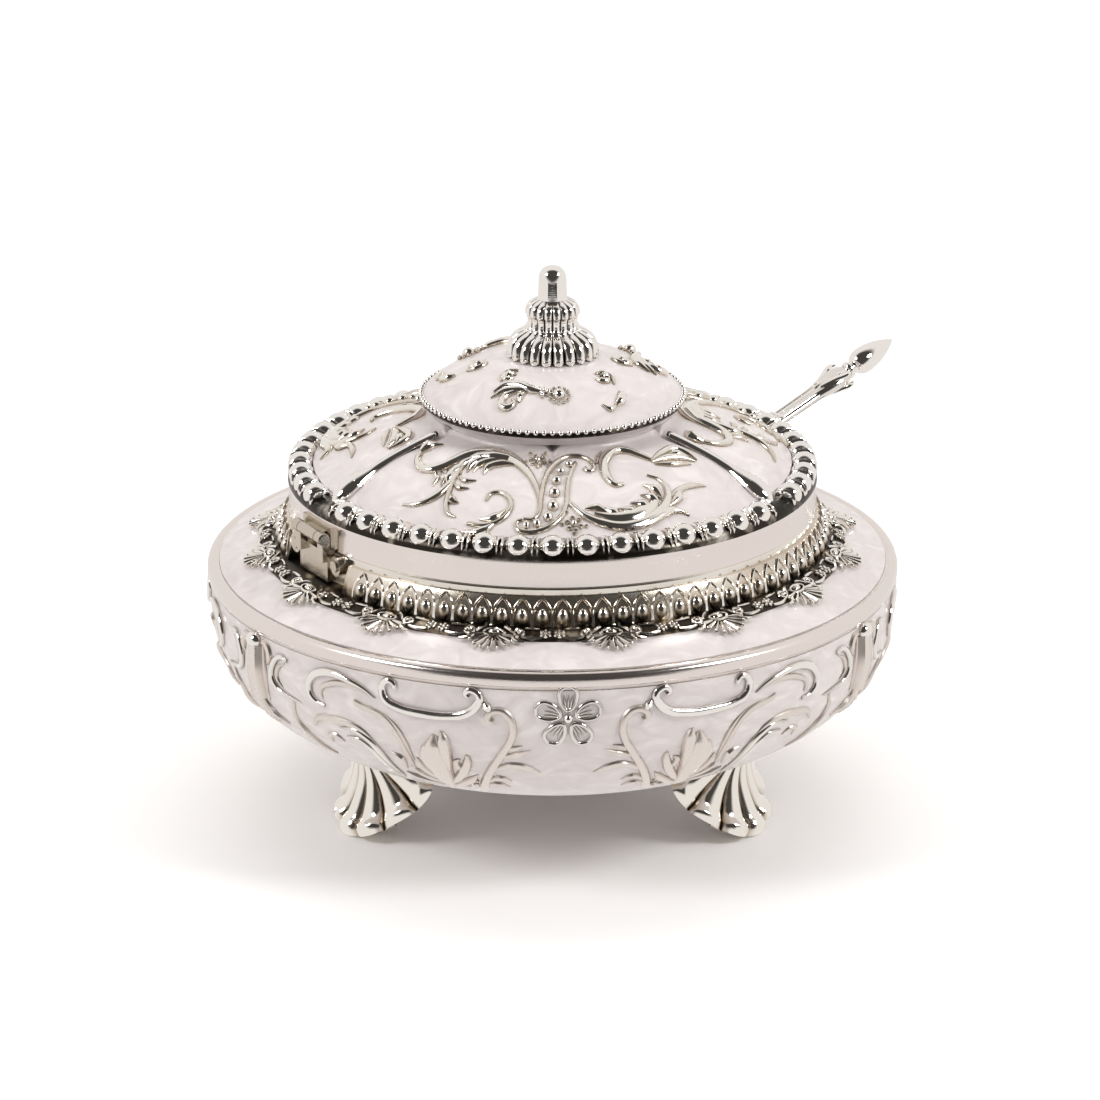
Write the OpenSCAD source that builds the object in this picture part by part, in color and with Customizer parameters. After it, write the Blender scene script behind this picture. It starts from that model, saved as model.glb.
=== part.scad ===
// Footed sugar bowl with a hinged lid, and a spoon that leaves through a notch in the rim.
// The bowl stands on Z = 0 with its axis on Z, and its front faces -Y.
// A bearing is the angle about Z from the front towards +X.

/* [Bowl] */
// Radius of the bowl at its belly
belly_r = 69.4; // [60:0.2:84]
// Height of the belly above the table
belly_z = 44; // [41:0.5:54]
// Height of the underside above the table
underside_z = 11.5; // [10:0.5:14]
// Squareness of the side: 2 is an ellipse
side_power = 2.4; // [2:0.1:2.8]
// Thickness of the cast walls
wall = 1.8; // [1.4:0.1:2.2]
// Height of the straight side above the belly
side_h = 4.2; // [3:0.2:6]

/* [Shoulder] */
// How far the silver moulding stands out past the belly
moulding_out = 0.8; // [0.4:0.1:1.6]
// Height of the silver moulding
moulding_h = 3.8; // [3:0.1:5]
// Width of the moulding seen from above
moulding_w = 2.5; // [1.5:0.1:3.5]
// Rise of the shoulder from the moulding to the collar
shoulder_rise = 4.5; // [3:0.1:6]
// Thickness of the shoulder plate
shoulder_t = 1.6; // [1.2:0.1:2]

/* [Collar] */
// Outer radius of the collar and of the lid's band
collar_r = 53.4; // [44:0.2:55]
// Thickness of the collar and of the lid's band
collar_t = 2; // [1.6:0.1:2.6]
// Height of the collar above the shoulder
collar_h = 6.8; // [5.6:0.1:8.2]
// Width of the egg gallery at its foot
gallery_w = 2.4; // [1.6:0.1:3]
// Gap between the top of the gallery and the rim
gallery_gap = 1.5; // [0.8:0.1:2]
// Width of the lace border
lace_w = 6.8; // [5:0.2:8]
// Thickness of the lace border
lace_t = 0.8; // [0.5:0.1:1.2]
// Scallop shells round the lace border
lace_shells = 16; // [8:1:20]

/* [Lid] */
// Height of the lid's plain band
band_h = 5.7; // [5:0.1:7]
// How far the dome's full curve reaches past the collar
dome_out = 2.6; // [2.1:0.1:6]
// Height of the dome's full curve
dome_h = 25; // [21:0.5:30]
// Thickness of the dome and of the crown plate
dome_t = 1.6; // [1.2:0.1:2]
// Height of the dome's centre below the top of the band
dome_sink = 9.6; // [9:0.1:10.5]
// Radius of the neck under the crown plate
neck_r = 24.5; // [20:0.5:29]
// Radial width of the beaded rim
bead_w = 5.2; // [4.4:0.1:5.4]
// Height of the beaded rim above the band
bead_h = 4; // [3:0.1:4.6]

/* [Crown and knob] */
// Radius of the crown plate
crown_r = 26.4; // [25.5:0.1:31]
// Height of the crown plate's edge above the neck
crown_edge_h = 3.4; // [2.6:0.1:4.2]
// Rise of the crown plate from its edge to the knob's seat
crown_rise = 8.2; // [7:0.1:10]
// Radius of the knob's lower bell
bell_r = 9.4; // [7.8:0.1:11.3]
// Height of the knob's lower bell
bell_h = 6.2; // [5:0.1:7.4]
// Height of the knob's fluted cup
cup_h = 5.6; // [4.6:0.1:6.8]
// Height of the knob's tip
tip_h = 6.7; // [5.6:0.1:8]
// Radius of the knob's stud
stud_r = 1.5; // [1.2:0.1:1.6]

/* [Feet] */
// Distance of each foot's screw from the axis
foot_r = 43; // [40:0.5:47]
// Half the width of a foot where it meets the bowl
foot_half_w = 13.5; // [11:0.5:16]
// Radius of the foot screws
screw_r = 1.5; // [1.2:0.1:1.8]

/* [Hinge] */
// Bearing of the hinge
hinge_bearing = -60; // [-75:1:-45]
// Radius of the hinge pin
pin_r = 0.6; // [0.5:0.05:0.7]
// Outer radius of the hinge knuckles
knuckle_r = 1.25; // [1.15:0.05:1.5]
// Length of the hinge barrel
barrel_l = 11.6; // [9.6:0.2:14]
// Gap between the knuckles and the lid's leaf
knuckle_clear = 0.25; // [0.15:0.05:0.5]
// Height of the pin above the rim
pin_up = 2.8; // [2.4:0.1:3.4]

/* [Spoon] */
// Bearing of the spoon
spoon_bearing = 128; // [118:1:138]
// Slope of the handle
spoon_slope = 20; // [18:0.5:22]
// Length of the handle outside the collar
handle_out = 40.3; // [33:0.1:48]
// Width of the handle's stem
stem_w = 4.4; // [3.6:0.1:5.4]
// Thickness of the handle's stem
stem_t = 2.1; // [1.8:0.1:2.4]
// Half the width of the spoon's bowl
cup_half_w = 11.5; // [9.5:0.5:13]
// Depth of the spoon's bowl
cup_depth = 5; // [4:0.5:6]

/* [Hidden] */

$fn = 96;
// Sides of the round cuts that seat small hinge parts
fine_fn = 360;
// Clearances: free holes round screws and studs, the turning hinge, and parts that pass
free_fit = 0.15;
turn_fit = 0.05;
pass_gap = 0.3;
// A cut reaches this far past the face that it opens
past = 1;
// Steps along the bowl's side, the domes and the spoon
side_steps = 20;
dome_steps = 14;
spoon_steps = 44;

// Heights of the stack
belly_drop = belly_z - underside_z;
side_top_z = belly_z + side_h;
moulding_top_z = side_top_z + moulding_h;
moulding_r = belly_r + moulding_out;
plate_r = moulding_r - moulding_w;
collar_foot_z = moulding_top_z + shoulder_rise;
rim_z = collar_foot_z + collar_h;
band_top_z = rim_z + band_h;
dome_r = collar_r + dome_out;
dome_z = band_top_z - dome_sink;
bead_in_r = collar_r + 0.2 - bead_w;
// The beads stand this far proud of the band
bead_out_r = collar_r + 0.2;
// The dome turns into the neck's hollow at this distance outside it
neck_fillet = 3.6;

// Height of the dome's curve at radius r
function dome_at(r) = dome_z + dome_h * sqrt(1 - pow(r / dome_r, 2));
neck_z = dome_at(neck_r + neck_fillet) + 1.6;
disc_top_z = neck_z + 0.2;
crown_edge_z = neck_z + crown_edge_h;
seat_z = crown_edge_z + crown_rise;
cup_z = seat_z + bell_h;
tip_z = cup_z + cup_h;
top_z = tip_z + tip_h;

// Height of the bowl's side at radius r, moved inwards by inset
function bowl_at(r, inset) =
    belly_z - (belly_drop - inset) * pow(1 - pow(r / (belly_r - inset), side_power), 1 / side_power);
// Points down the bowl's side to its axis, moved inwards by inset
function bowl_side(inset) = [
    for (i = [0:side_steps])
        let (t = 90 * i / side_steps)
        [
            (belly_r - inset) * pow(cos(t), 2 / side_power),
            belly_z - (belly_drop - inset) * pow(sin(t), 2 / side_power)
        ]
];
// Height of the shoulder's top face at radius r
shoulder_fall = shoulder_rise / (plate_r - collar_r);
function shoulder_at(r) = collar_foot_z - shoulder_fall * (r - collar_r);
function backwards(list) = [for (i = [len(list) - 1:-1:0]) list[i]];
// Points on a curve from a to b by way of the control point c
function bend(a, c, b, steps) = [
    for (i = [0:steps])
        let (u = i / steps)
        (1 - u) * (1 - u) * a + 2 * u * (1 - u) * c + u * u * b
];

// Turns a part so that its local +X points outwards at a bearing
module at_bearing(bearing) {
    rotate([0, 0, bearing - 90]) children();
}

// A ring of section points [r, z]
module turned(points) {
    rotate_extrude() polygon(points);
}

// The bowl's outer form, filled
module bowl_form() {
    turned(concat([[0, side_top_z], [belly_r, side_top_z]], bowl_side(0)));
}

// ---- Bowl ----

boss_r = 4.6;
boss_top_z = bowl_at(foot_r + boss_r, wall) + 0.4;
foot_bearings = [-60, 60, 180];

module bowl_shell() {
    color("#E6DEDA") difference() {
        union() {
            turned(concat(
                [[belly_r, side_top_z]], bowl_side(0),
                backwards(bowl_side(wall)), [[belly_r - wall, side_top_z]]
            ));
            intersection() {
                bowl_form();
                for (b = foot_bearings)
                    at_bearing(b)
                        translate([foot_r, 0, 0])
                            cylinder(r = boss_r, h = boss_top_z, $fn = 48);
            }
        }
        for (b = foot_bearings)
            at_bearing(b)
                translate([foot_r, 0, 0])
                    cylinder(r = screw_r + free_fit, h = boss_top_z + past, $fn = 32);
    }
}

// The moulding rests on the bowl's edge, and its inner step carries the shoulder plate
module rim_moulding() {
    step_z = moulding_top_z - shoulder_t;
    color("silver") turned(concat(
        [[plate_r - 1.6, side_top_z]],
        bend([belly_r, side_top_z], [moulding_r, side_top_z],
            [moulding_r, side_top_z + moulding_h * 0.45], 4),
        bend([moulding_r - 0.1, moulding_top_z - 1], [moulding_r - 0.4, moulding_top_z],
            [moulding_r - 1.6, moulding_top_z], 4),
        [[plate_r, moulding_top_z], [plate_r, step_z], [plate_r - 1.6, step_z]]
    ));
}

module shoulder_plate() {
    color("#E6DEDA") turned([
        [collar_r, collar_foot_z], [collar_r, collar_foot_z - shoulder_t],
        [plate_r, moulding_top_z - shoulder_t], [plate_r, moulding_top_z]
    ]);
}

// The collar's ledge carries the shoulder plate's inner edge from below
module collar_ring() {
    ledge_r = collar_r + 1.6;
    ledge_z = shoulder_at(ledge_r) - shoulder_t;
    color("silver") difference() {
        turned([
            [collar_r - collar_t, ledge_z - 1], [ledge_r, ledge_z - 1], [ledge_r, ledge_z],
            [collar_r, collar_foot_z - shoulder_t], [collar_r, rim_z], [collar_r - collar_t, rim_z]
        ]);
        body_rivet_holes();
    }
}

module egg_gallery() {
    foot_out_r = collar_r + gallery_w;
    top = rim_z - gallery_gap;
    color("silver") difference() {
        turned(concat(
            [[collar_r, shoulder_at(collar_r)], [foot_out_r, shoulder_at(foot_out_r)]],
            bend([foot_out_r, shoulder_at(foot_out_r) + 1.6], [collar_r + 1.8, top - 0.6],
                [collar_r + 0.5, top], 4),
            [[collar_r, top]]
        ));
        at_bearing(hinge_bearing)
            translate([0, -leaf_reach - pass_gap, 0])
                cube([foot_out_r + past, 2 * (leaf_reach + pass_gap), rim_z]);
    }
}

module lace_border() {
    inner = collar_r + gallery_w;
    band_w = lace_w * 0.38;
    shell_r = lace_w * 0.52;
    color("silver") intersection() {
        turned([
            [inner, shoulder_at(inner)], [inner + lace_w, shoulder_at(inner + lace_w)],
            [inner + lace_w, shoulder_at(inner + lace_w) + lace_t], [inner, shoulder_at(inner) + lace_t]
        ]);
        union() {
            cylinder(r = inner + band_w, h = rim_z);
            for (i = [0:lace_shells - 1])
                at_bearing((i + 0.5) * 360 / lace_shells)
                    translate([inner + lace_w - shell_r, 0, 0])
                        cylinder(r = shell_r, h = rim_z, $fn = 32);
        }
    }
}

// ---- Feet ----

// A palmette foot: its side outline crossed with its front outline, cut to the bowl's underside
module foot(bearing) {
    depth = 26;
    screw_bottom = 6;
    side = concat(
        [[foot_r + 1.8, 0], [foot_r + 6, 0]],
        bend([foot_r + 7.2, 1.2], [foot_r + 7.4, 3.4], [foot_r + 4.4, 6], 4),
        bend([foot_r + 3.4, 9], [foot_r + 4, 13], [foot_r + 9.5, depth - 3], 4),
        [[foot_r + 9.5, depth], [foot_r - 8, depth], [foot_r - 8, 15]],
        bend([foot_r - 6, 11], [foot_r - 3, 6], [foot_r + 1, 2], 4)
    );
    half = concat(
        [[5, 0]],
        bend([foot_half_w * 0.6, 1.4], [foot_half_w * 0.9, 5], [foot_half_w, 11], 4),
        [[foot_half_w + 0.5, depth]]
    );
    front = concat(half, [for (p = backwards(half)) [-p[0], p[1]]]);
    color("silver") at_bearing(bearing) difference() {
        intersection() {
            rotate([90, 0, 0])
                translate([0, 0, -foot_half_w - past])
                    linear_extrude(2 * (foot_half_w + past)) polygon(side);
            rotate([90, 0, 90])
                linear_extrude(belly_r) polygon(front);
        }
        bowl_form();
        translate([foot_r, 0, screw_bottom])
            cylinder(r = screw_r, h = depth, $fn = 32);
    }
}

module foot_front_left() {
    foot(foot_bearings[0]);
}

module foot_front_right() {
    foot(foot_bearings[1]);
}

module foot_back() {
    foot(foot_bearings[2]);
}

module foot_screws() {
    head_r = 2.8;
    head_h = 1.8;
    shank_end_z = 7;
    slot_w = 0.8;
    color("gray") for (b = foot_bearings)
        at_bearing(b) translate([foot_r, 0, 0]) difference() {
            union() {
                translate([0, 0, shank_end_z])
                    cylinder(r = screw_r, h = boss_top_z - shank_end_z, $fn = 32);
                translate([0, 0, boss_top_z])
                    cylinder(r = head_r, h = head_h, $fn = 32);
            }
            translate([-head_r - past, -slot_w / 2, boss_top_z + head_h - slot_w])
                cube([2 * (head_r + past), slot_w, slot_w + past]);
        }
}

// ---- Lid ----

flange_t = 1.2;

module lid_band() {
    notch_w = stem_w + 2.6;
    notch_top = band_top_z - flange_t - 0.1;
    color("silver") difference() {
        turned([
            [collar_r - collar_t, rim_z], [collar_r, rim_z], [collar_r, band_top_z],
            [bead_in_r - dome_t - past, band_top_z], [bead_in_r - dome_t - past, band_top_z - flange_t],
            [collar_r - collar_t, band_top_z - flange_t]
        ]);
        at_bearing(spoon_bearing)
            translate([collar_r - collar_t - past, -notch_w / 2, rim_z - past])
                cube([collar_t + 2 * past, notch_w, notch_top - rim_z + past]);
        lid_rivet_holes();
    }
}

// Points along the dome from radius a to radius b, lowered by drop
function dome_line(a, b, drop) = [
    for (i = [0:dome_steps])
        let (r = a + (b - a) * i / dome_steps)
        [r, dome_at(r) - drop]
];

module lid_dome() {
    rim_r = bead_in_r;
    shoulder_r = neck_r + neck_fillet;
    color("#E6DEDA") difference() {
        turned(concat(
            [[0, disc_top_z], [neck_r, disc_top_z]],
            bend([neck_r, neck_z], [neck_r + 0.4, dome_at(shoulder_r) + 0.4],
                [shoulder_r, dome_at(shoulder_r)], 4),
            dome_line(shoulder_r + 0.5, rim_r, 0),
            [[rim_r, band_top_z], [rim_r - dome_t, band_top_z]],
            dome_line(rim_r - dome_t, neck_r - dome_t, dome_t),
            [[neck_r - dome_t - 1, disc_top_z - dome_t], [0, disc_top_z - dome_t]]
        ));
        translate([0, 0, band_top_z])
            cylinder(r = stud_r + free_fit, h = top_z, $fn = 32);
    }
}

module lid_bead_ring() {
    mid_r = (bead_in_r + bead_out_r) / 2;
    color("silver") turned(concat(
        [[bead_in_r, band_top_z], [bead_out_r, band_top_z]],
        bend([bead_out_r, band_top_z + bead_h * 0.35], [bead_out_r, band_top_z + bead_h],
            [mid_r, band_top_z + bead_h], 4),
        bend([mid_r - 0.4, band_top_z + bead_h], [bead_in_r, band_top_z + bead_h],
            [bead_in_r, band_top_z + bead_h * 0.7], 4)
    ));
}

// Height of the crown plate's curve at radius r
crown_curve_r = crown_r * 1.1;
crown_seat_share = sqrt(1 - pow(bell_r / crown_curve_r, 2));
crown_curve_h = crown_rise / (crown_seat_share - sqrt(1 - pow(crown_r / crown_curve_r, 2)));
function crown_at(r) =
    seat_z + crown_curve_h * (sqrt(1 - pow(r / crown_curve_r, 2)) - crown_seat_share);
function crown_line(a, b, drop) = [
    for (i = [0:dome_steps])
        let (r = a + (b - a) * i / dome_steps)
        [r, crown_at(r) - drop]
];

// The crown plate stands on the dome's top disc and carries the knob on its flat seat
module crown_plate() {
    skirt_r = neck_r - 0.3;
    inner_r = skirt_r - dome_t;
    color("#E6DEDA") difference() {
        turned(concat(
            [[0, seat_z]], crown_line(bell_r, crown_r, 0),
            bend([crown_r, crown_edge_z - 0.7], [skirt_r, crown_edge_z - 1], [skirt_r, disc_top_z], 5),
            [[inner_r, disc_top_z]],
            crown_line(inner_r, bell_r, dome_t), [[0, seat_z - dome_t]]
        ));
        translate([0, 0, disc_top_z])
            cylinder(r = stud_r + free_fit, h = top_z, $fn = 32);
    }
}

// ---- Knob ----

waist_r = bell_r * 0.58;
cup_foot_r = waist_r * 0.9;
tip_r = waist_r * 0.54;
stud_end_z = tip_z + tip_h * 0.4;

module knob_bell() {
    color("silver") difference() {
        turned(concat(
            [[0, seat_z], [bell_r - 0.6, seat_z]],
            bend([bell_r, seat_z + 0.8], [bell_r * 0.98, seat_z + bell_h * 0.6],
                [waist_r + 0.4, cup_z - 0.6], 6),
            [[waist_r, cup_z], [0, cup_z]]
        ));
        translate([0, 0, seat_z - past])
            cylinder(r = stud_r + free_fit, h = bell_h + 2 * past, $fn = 32);
    }
}

module knob_cup() {
    color("silver") difference() {
        turned(concat(
            [[0, cup_z], [cup_foot_r, cup_z]],
            bend([cup_foot_r, cup_z + 0.6], [waist_r + 0.9, cup_z + cup_h * 0.5],
                [tip_r + 0.5, tip_z - 0.3], 6),
            [[tip_r + 0.3, tip_z], [0, tip_z]]
        ));
        translate([0, 0, cup_z - past])
            cylinder(r = stud_r + free_fit, h = cup_h + 2 * past, $fn = 32);
    }
}

module knob_tip() {
    color("silver") difference() {
        turned(concat(
            [[0, tip_z], [tip_r + 0.2, tip_z]],
            bend([tip_r, tip_z + 0.5], [tip_r - 0.1, tip_z + tip_h * 0.4],
                [tip_r - 0.2, top_z - tip_r], 3),
            bend([tip_r - 0.3, top_z - tip_r + 0.6], [tip_r - 0.4, top_z], [0, top_z], 6)
        ));
        translate([0, 0, tip_z - past])
            cylinder(r = stud_r, h = stud_end_z - tip_z + past, $fn = 32);
    }
}

washer_t = 1;
nut_h = 2.4;
washer_z = disc_top_z - dome_t - washer_t;
nut_z = washer_z - nut_h;

module knob_stud() {
    color("gray") translate([0, 0, nut_z - 1])
        cylinder(r = stud_r, h = stud_end_z - nut_z + 1, $fn = 32);
}

module knob_washer() {
    color("gray") translate([0, 0, washer_z]) difference() {
        cylinder(r = stud_r * 2.4, h = washer_t, $fn = 48);
        translate([0, 0, -past])
            cylinder(r = stud_r + free_fit, h = washer_t + 2 * past, $fn = 32);
    }
}

module knob_nut() {
    color("gray") translate([0, 0, nut_z]) difference() {
        cylinder(r = stud_r * 2.1, h = nut_h, $fn = 6);
        translate([0, 0, -past])
            cylinder(r = stud_r, h = nut_h + 2 * past, $fn = 32);
    }
}

// ---- Hinge ----

lid_leaf_t = 0.5;
body_leaf_t = 1.3;
// Distance of the pin outside the collar
pin_out = lid_leaf_t + knuckle_clear + knuckle_r;
pin_at = [collar_r + pin_out, 0, rim_z + pin_up];
mid_half = barrel_l * 0.29;
knuckle_gap = 0.2;
barrel_half = barrel_l / 2;
tab_r = 2;
tab_y = barrel_half + 2.6;
tab_z = rim_z - tab_r - 0.2;
// How far the body leaf reaches to each side of its middle
leaf_reach = tab_y + tab_r;
rivet_r = 0.9;

// A cylinder along the hinge's axis from y0 to y1
module barrel(r, y0, y1) {
    translate([pin_at[0], y1, pin_at[2]])
        rotate([90, 0, 0]) cylinder(r = r, h = y1 - y0, $fn = 48);
}

// A cylinder that points outwards from radius r0 to radius r1
module peg(r, y, z, r0, r1) {
    translate([r0, y, z])
        rotate([0, 90, 0]) cylinder(r = r, h = r1 - r0, $fn = 32);
}

module body_rivet_holes() {
    at_bearing(hinge_bearing)
        for (side = [-1, 1])
            peg(rivet_r, side * tab_y, tab_z, collar_r - collar_t - 2 * past, collar_r + 2 * past);
}

module lid_rivet_holes() {
    at_bearing(hinge_bearing)
        for (side = [-1, 1])
            peg(rivet_r, side * lid_rivet_y, lid_rivet_z, collar_r - collar_t - past, collar_r + past);
}

lid_rivet_y = barrel_half - 1.2;
lid_rivet_z = rim_z + 1.6;

// The body leaf lies on the collar, with a riveted tab on each side, and carries the end knuckles
module hinge_body_leaf() {
    foot_z = shoulder_at(collar_r + body_leaf_t) + lace_t + pass_gap;
    arm_in = pin_at[0] - knuckle_r;
    color("#D8CFC0") difference() {
        at_bearing(hinge_bearing) union() {
            translate([collar_r - 2, -barrel_half, foot_z])
                cube([2 + body_leaf_t, 2 * barrel_half, rim_z - pass_gap - foot_z]);
            for (side = [-1, 1])
                peg(tab_r, side * tab_y, tab_z, collar_r - 2, collar_r + body_leaf_t - 0.3);
            translate([collar_r - 2, -tab_y, tab_z - 1])
                cube([2 + body_leaf_t - 0.3, 2 * tab_y, 2]);
            for (side = [-1, 1]) {
                start = side < 0 ? -barrel_half : mid_half + knuckle_gap;
                knuckle_l = barrel_half - mid_half - knuckle_gap;
                barrel(knuckle_r, start, start + knuckle_l);
                translate([arm_in, start, rim_z - 2])
                    cube([1.6, knuckle_l, pin_up + 2]);
            }
        }
        cylinder(r = collar_r, h = top_z, $fn = fine_fn);
        at_bearing(hinge_bearing) barrel(pin_r, -barrel_half - past, barrel_half + past);
        body_rivet_holes();
    }
}

// The lid leaf lies on the lid's band and carries the middle knuckle
module hinge_lid_leaf() {
    leaf_top = band_top_z - 0.8;
    tongue_h = 1.6;
    color("#D8CFC0") difference() {
        at_bearing(hinge_bearing) union() {
            translate([collar_r - 2, -barrel_half, rim_z + pass_gap])
                cube([2 + lid_leaf_t, 2 * barrel_half, leaf_top - rim_z - pass_gap]);
            translate([collar_r - 1, -mid_half, pin_at[2] - tongue_h / 2])
                cube([pin_out + 1, 2 * mid_half, tongue_h]);
            barrel(knuckle_r, -mid_half, mid_half);
        }
        cylinder(r = collar_r, h = top_z, $fn = fine_fn);
        at_bearing(hinge_bearing) barrel(pin_r + turn_fit, -barrel_half - past, barrel_half + past);
        lid_rivet_holes();
    }
}

module hinge_pin() {
    head_l = 0.4;
    color("gray") at_bearing(hinge_bearing) union() {
        barrel(pin_r, -barrel_half - head_l, barrel_half + head_l);
        barrel(pin_r * 1.6, -barrel_half - head_l, -barrel_half);
        barrel(pin_r * 1.6, barrel_half, barrel_half + head_l);
    }
}

// Rivets filled flush inside the collar, with a low round head on the tab
module hinge_body_rivets() {
    head_face = collar_r + body_leaf_t - 0.3;
    color("gray") difference() {
        at_bearing(hinge_bearing) for (side = [-1, 1]) {
            peg(rivet_r, side * tab_y, tab_z, collar_r - collar_t - 2 * past, head_face);
            peg(rivet_r * 1.3, side * tab_y, tab_z, head_face, head_face + 0.4);
        }
        cylinder(r = collar_r - collar_t, h = top_z, $fn = fine_fn);
    }
}

// Rivets filed flush on both faces
module hinge_lid_rivets() {
    color("gray") difference() {
        at_bearing(hinge_bearing) for (side = [-1, 1])
            peg(rivet_r, side * lid_rivet_y, lid_rivet_z, collar_r - collar_t - past, collar_r + lid_leaf_t);
        cylinder(r = collar_r - collar_t, h = top_z, $fn = fine_fn);
    }
}

// ---- Spoon ----

// Where the stem crosses the collar's outer face
cross_z = rim_z + 2.7;
// Inside the collar the stem stays straight up to this distance from the axis, then bends down to the cup
bend_start_r = 15.4;
straight_in = collar_r - bend_start_r;
bend_r = 95;
bend_turn = 21;
cup_r = 58;
cup_turn = 34;
bend_l = bend_r * bend_turn * PI / 180;
cup_l = cup_r * cup_turn * PI / 180;
spoon_l = handle_out + straight_in + bend_l + cup_l;

// Slope of the spoon's middle line at distance s from the handle's tip
function slope_at(s) =
    let (b = s - handle_out - straight_in, c = b - bend_l)
    spoon_slope + (b <= 0 ? 0 : c <= 0 ? b / bend_r * 180 / PI : bend_turn - c / cup_r * 180 / PI);
// The middle line's ends as [radius, height]: the handle's tip, the straight's end and the bend's end
tip_at = [collar_r + handle_out * cos(spoon_slope), cross_z + handle_out * sin(spoon_slope)];
straight_end = tip_at - (handle_out + straight_in) * [cos(spoon_slope), sin(spoon_slope)];
end_slope = spoon_slope + bend_turn;
bend_end = straight_end - bend_r * [
    sin(end_slope) - sin(spoon_slope), cos(spoon_slope) - cos(end_slope)
];
// Middle line as [radius, height] at distance s from the handle's tip
function line_at(s) =
    let (b = s - handle_out - straight_in, c = b - bend_l)
    b <= 0 ? tip_at - s * [cos(spoon_slope), sin(spoon_slope)] :
    c <= 0 ? straight_end - bend_r * [
        sin(slope_at(s)) - sin(spoon_slope), cos(spoon_slope) - cos(slope_at(s))
    ] :
    bend_end - cup_r * [
        sin(end_slope) - sin(slope_at(s)), cos(slope_at(s)) - cos(end_slope)
    ];

// Share of the cup's length passed at distance s
function cup_share(s) = max(0, (s - handle_out - straight_in - bend_l * 0.8) / (cup_l + bend_l * 0.2));
bud_l = 12;
bud_r = 2.4;
swell_l = 9;
// Half width and half thickness of the handle: a bud, a swelling, then the even stem
function handle_half(s, stem) =
    s < bud_l ? 0.3 + bud_r * pow(sin(180 * pow(s / bud_l, 0.7)), 0.8) :
    s < bud_l + swell_l ? stem + 1.3 * sin(180 * (s - bud_l) / swell_l) : stem;
function half_w(s) =
    let (q = cup_share(s))
    q <= 0 ? handle_half(s, stem_w / 2) :
    max(0.4, max(stem_w / 2 * (1 - q), cup_half_w * pow(sin(180 * pow(q, 0.85)), 0.62)));
function half_t(s) = cup_share(s) <= 0 ? handle_half(s, stem_t / 2) : max(0.55, stem_t / 2 * (1 - cup_share(s)));
function sag(s) = cup_depth * pow(max(0, sin(180 * cup_share(s))), 0.8);

// A section across the spoon: out along the underside and back along the top
section_half = 8;
function section(s) = [
    for (side = [-1, 1])
        for (i = [0:section_half])
            let (
                v = side * (1 - 2 * i / section_half),
                round = cup_share(s) <= 0 ? sqrt(max(0, 1 - v * v)) : pow(max(0, 1 - pow(v, 6)), 0.5),
                lift = side * half_t(s) * (0.15 + 0.85 * round) - sag(s) * (1 - v * v),
                p = line_at(s),
                e = slope_at(s)
            )
            [p[0] - lift * sin(e), half_w(s) * v, p[1] + lift * cos(e)]
];

module spoon() {
    stations = [for (i = [0:spoon_steps]) section(spoon_l * i / spoon_steps)];
    count = len(stations[0]);
    last = spoon_steps * count;
    color("silver") at_bearing(spoon_bearing)
        polyhedron(
            points = [for (ring = stations) for (p = ring) p],
            faces = concat(
                [[for (k = [0:count - 1]) k]],
                [
                    for (i = [0:spoon_steps - 1])
                        for (k = [0:count - 1])
                            let (a = i * count + k, b = i * count + (k + 1) % count)
                            [a, a + count, b + count, b]
                ],
                [[for (k = [count - 1:-1:0]) last + k]]
            ),
            convexity = 6
        );
}

bowl_shell();
rim_moulding();
shoulder_plate();
collar_ring();
egg_gallery();
lace_border();
foot_front_left();
foot_front_right();
foot_back();
foot_screws();
lid_band();
lid_dome();
lid_bead_ring();
crown_plate();
knob_bell();
knob_cup();
knob_tip();
knob_stud();
knob_washer();
knob_nut();
hinge_body_leaf();
hinge_lid_leaf();
hinge_pin();
hinge_body_rivets();
hinge_lid_rivets();
spoon();
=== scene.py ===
# %% [markdown]
# # A silver sugar bowl with cast relief
# The real object is cast white metal: a squat bowl on three palmette feet, a stepped lid on a small hinge,
# and a spoon that leans out of a notch. Plain areas are painted with pearl enamel, and every raised detail
# is silver plated and polished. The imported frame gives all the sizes. Here each piece gets its true surface:
# turned forms, bead rings, scrolls that lie on the curved walls, and finishes made from nodes.

# %% Load the frame
import math
import random

import bmesh
import bpy
from mathutils import Matrix, Vector


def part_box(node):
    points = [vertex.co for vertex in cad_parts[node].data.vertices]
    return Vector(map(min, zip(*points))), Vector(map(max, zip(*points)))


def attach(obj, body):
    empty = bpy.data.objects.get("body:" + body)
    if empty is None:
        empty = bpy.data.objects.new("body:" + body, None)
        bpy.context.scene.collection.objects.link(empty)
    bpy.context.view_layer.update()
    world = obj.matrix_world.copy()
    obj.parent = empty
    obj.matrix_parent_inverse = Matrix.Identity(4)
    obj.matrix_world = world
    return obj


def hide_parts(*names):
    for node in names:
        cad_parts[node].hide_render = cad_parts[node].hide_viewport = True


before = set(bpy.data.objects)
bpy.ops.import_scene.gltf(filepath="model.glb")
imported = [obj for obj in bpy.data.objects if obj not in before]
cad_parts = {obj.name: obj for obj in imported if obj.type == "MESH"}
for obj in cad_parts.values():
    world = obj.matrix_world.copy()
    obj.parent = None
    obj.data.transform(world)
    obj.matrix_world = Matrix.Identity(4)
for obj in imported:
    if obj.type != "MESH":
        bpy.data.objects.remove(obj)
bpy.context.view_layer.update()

# %% [markdown]
# Ornament is easier to think about in millimetres, so the mesh work is done in millimetres and scaled to
# metres once, when a piece is finished. The driving sizes are read from the frame's boxes: if the design
# changes, the turned forms and the ornament follow it.

# %% Sizes in millimetres, read from the frame
MM = 0.001
MERGE = 0.003  # mm; points closer than this are one point


def box_mm(node):
    low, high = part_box(node)
    return [c / MM for c in low], [c / MM for c in high]


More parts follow.
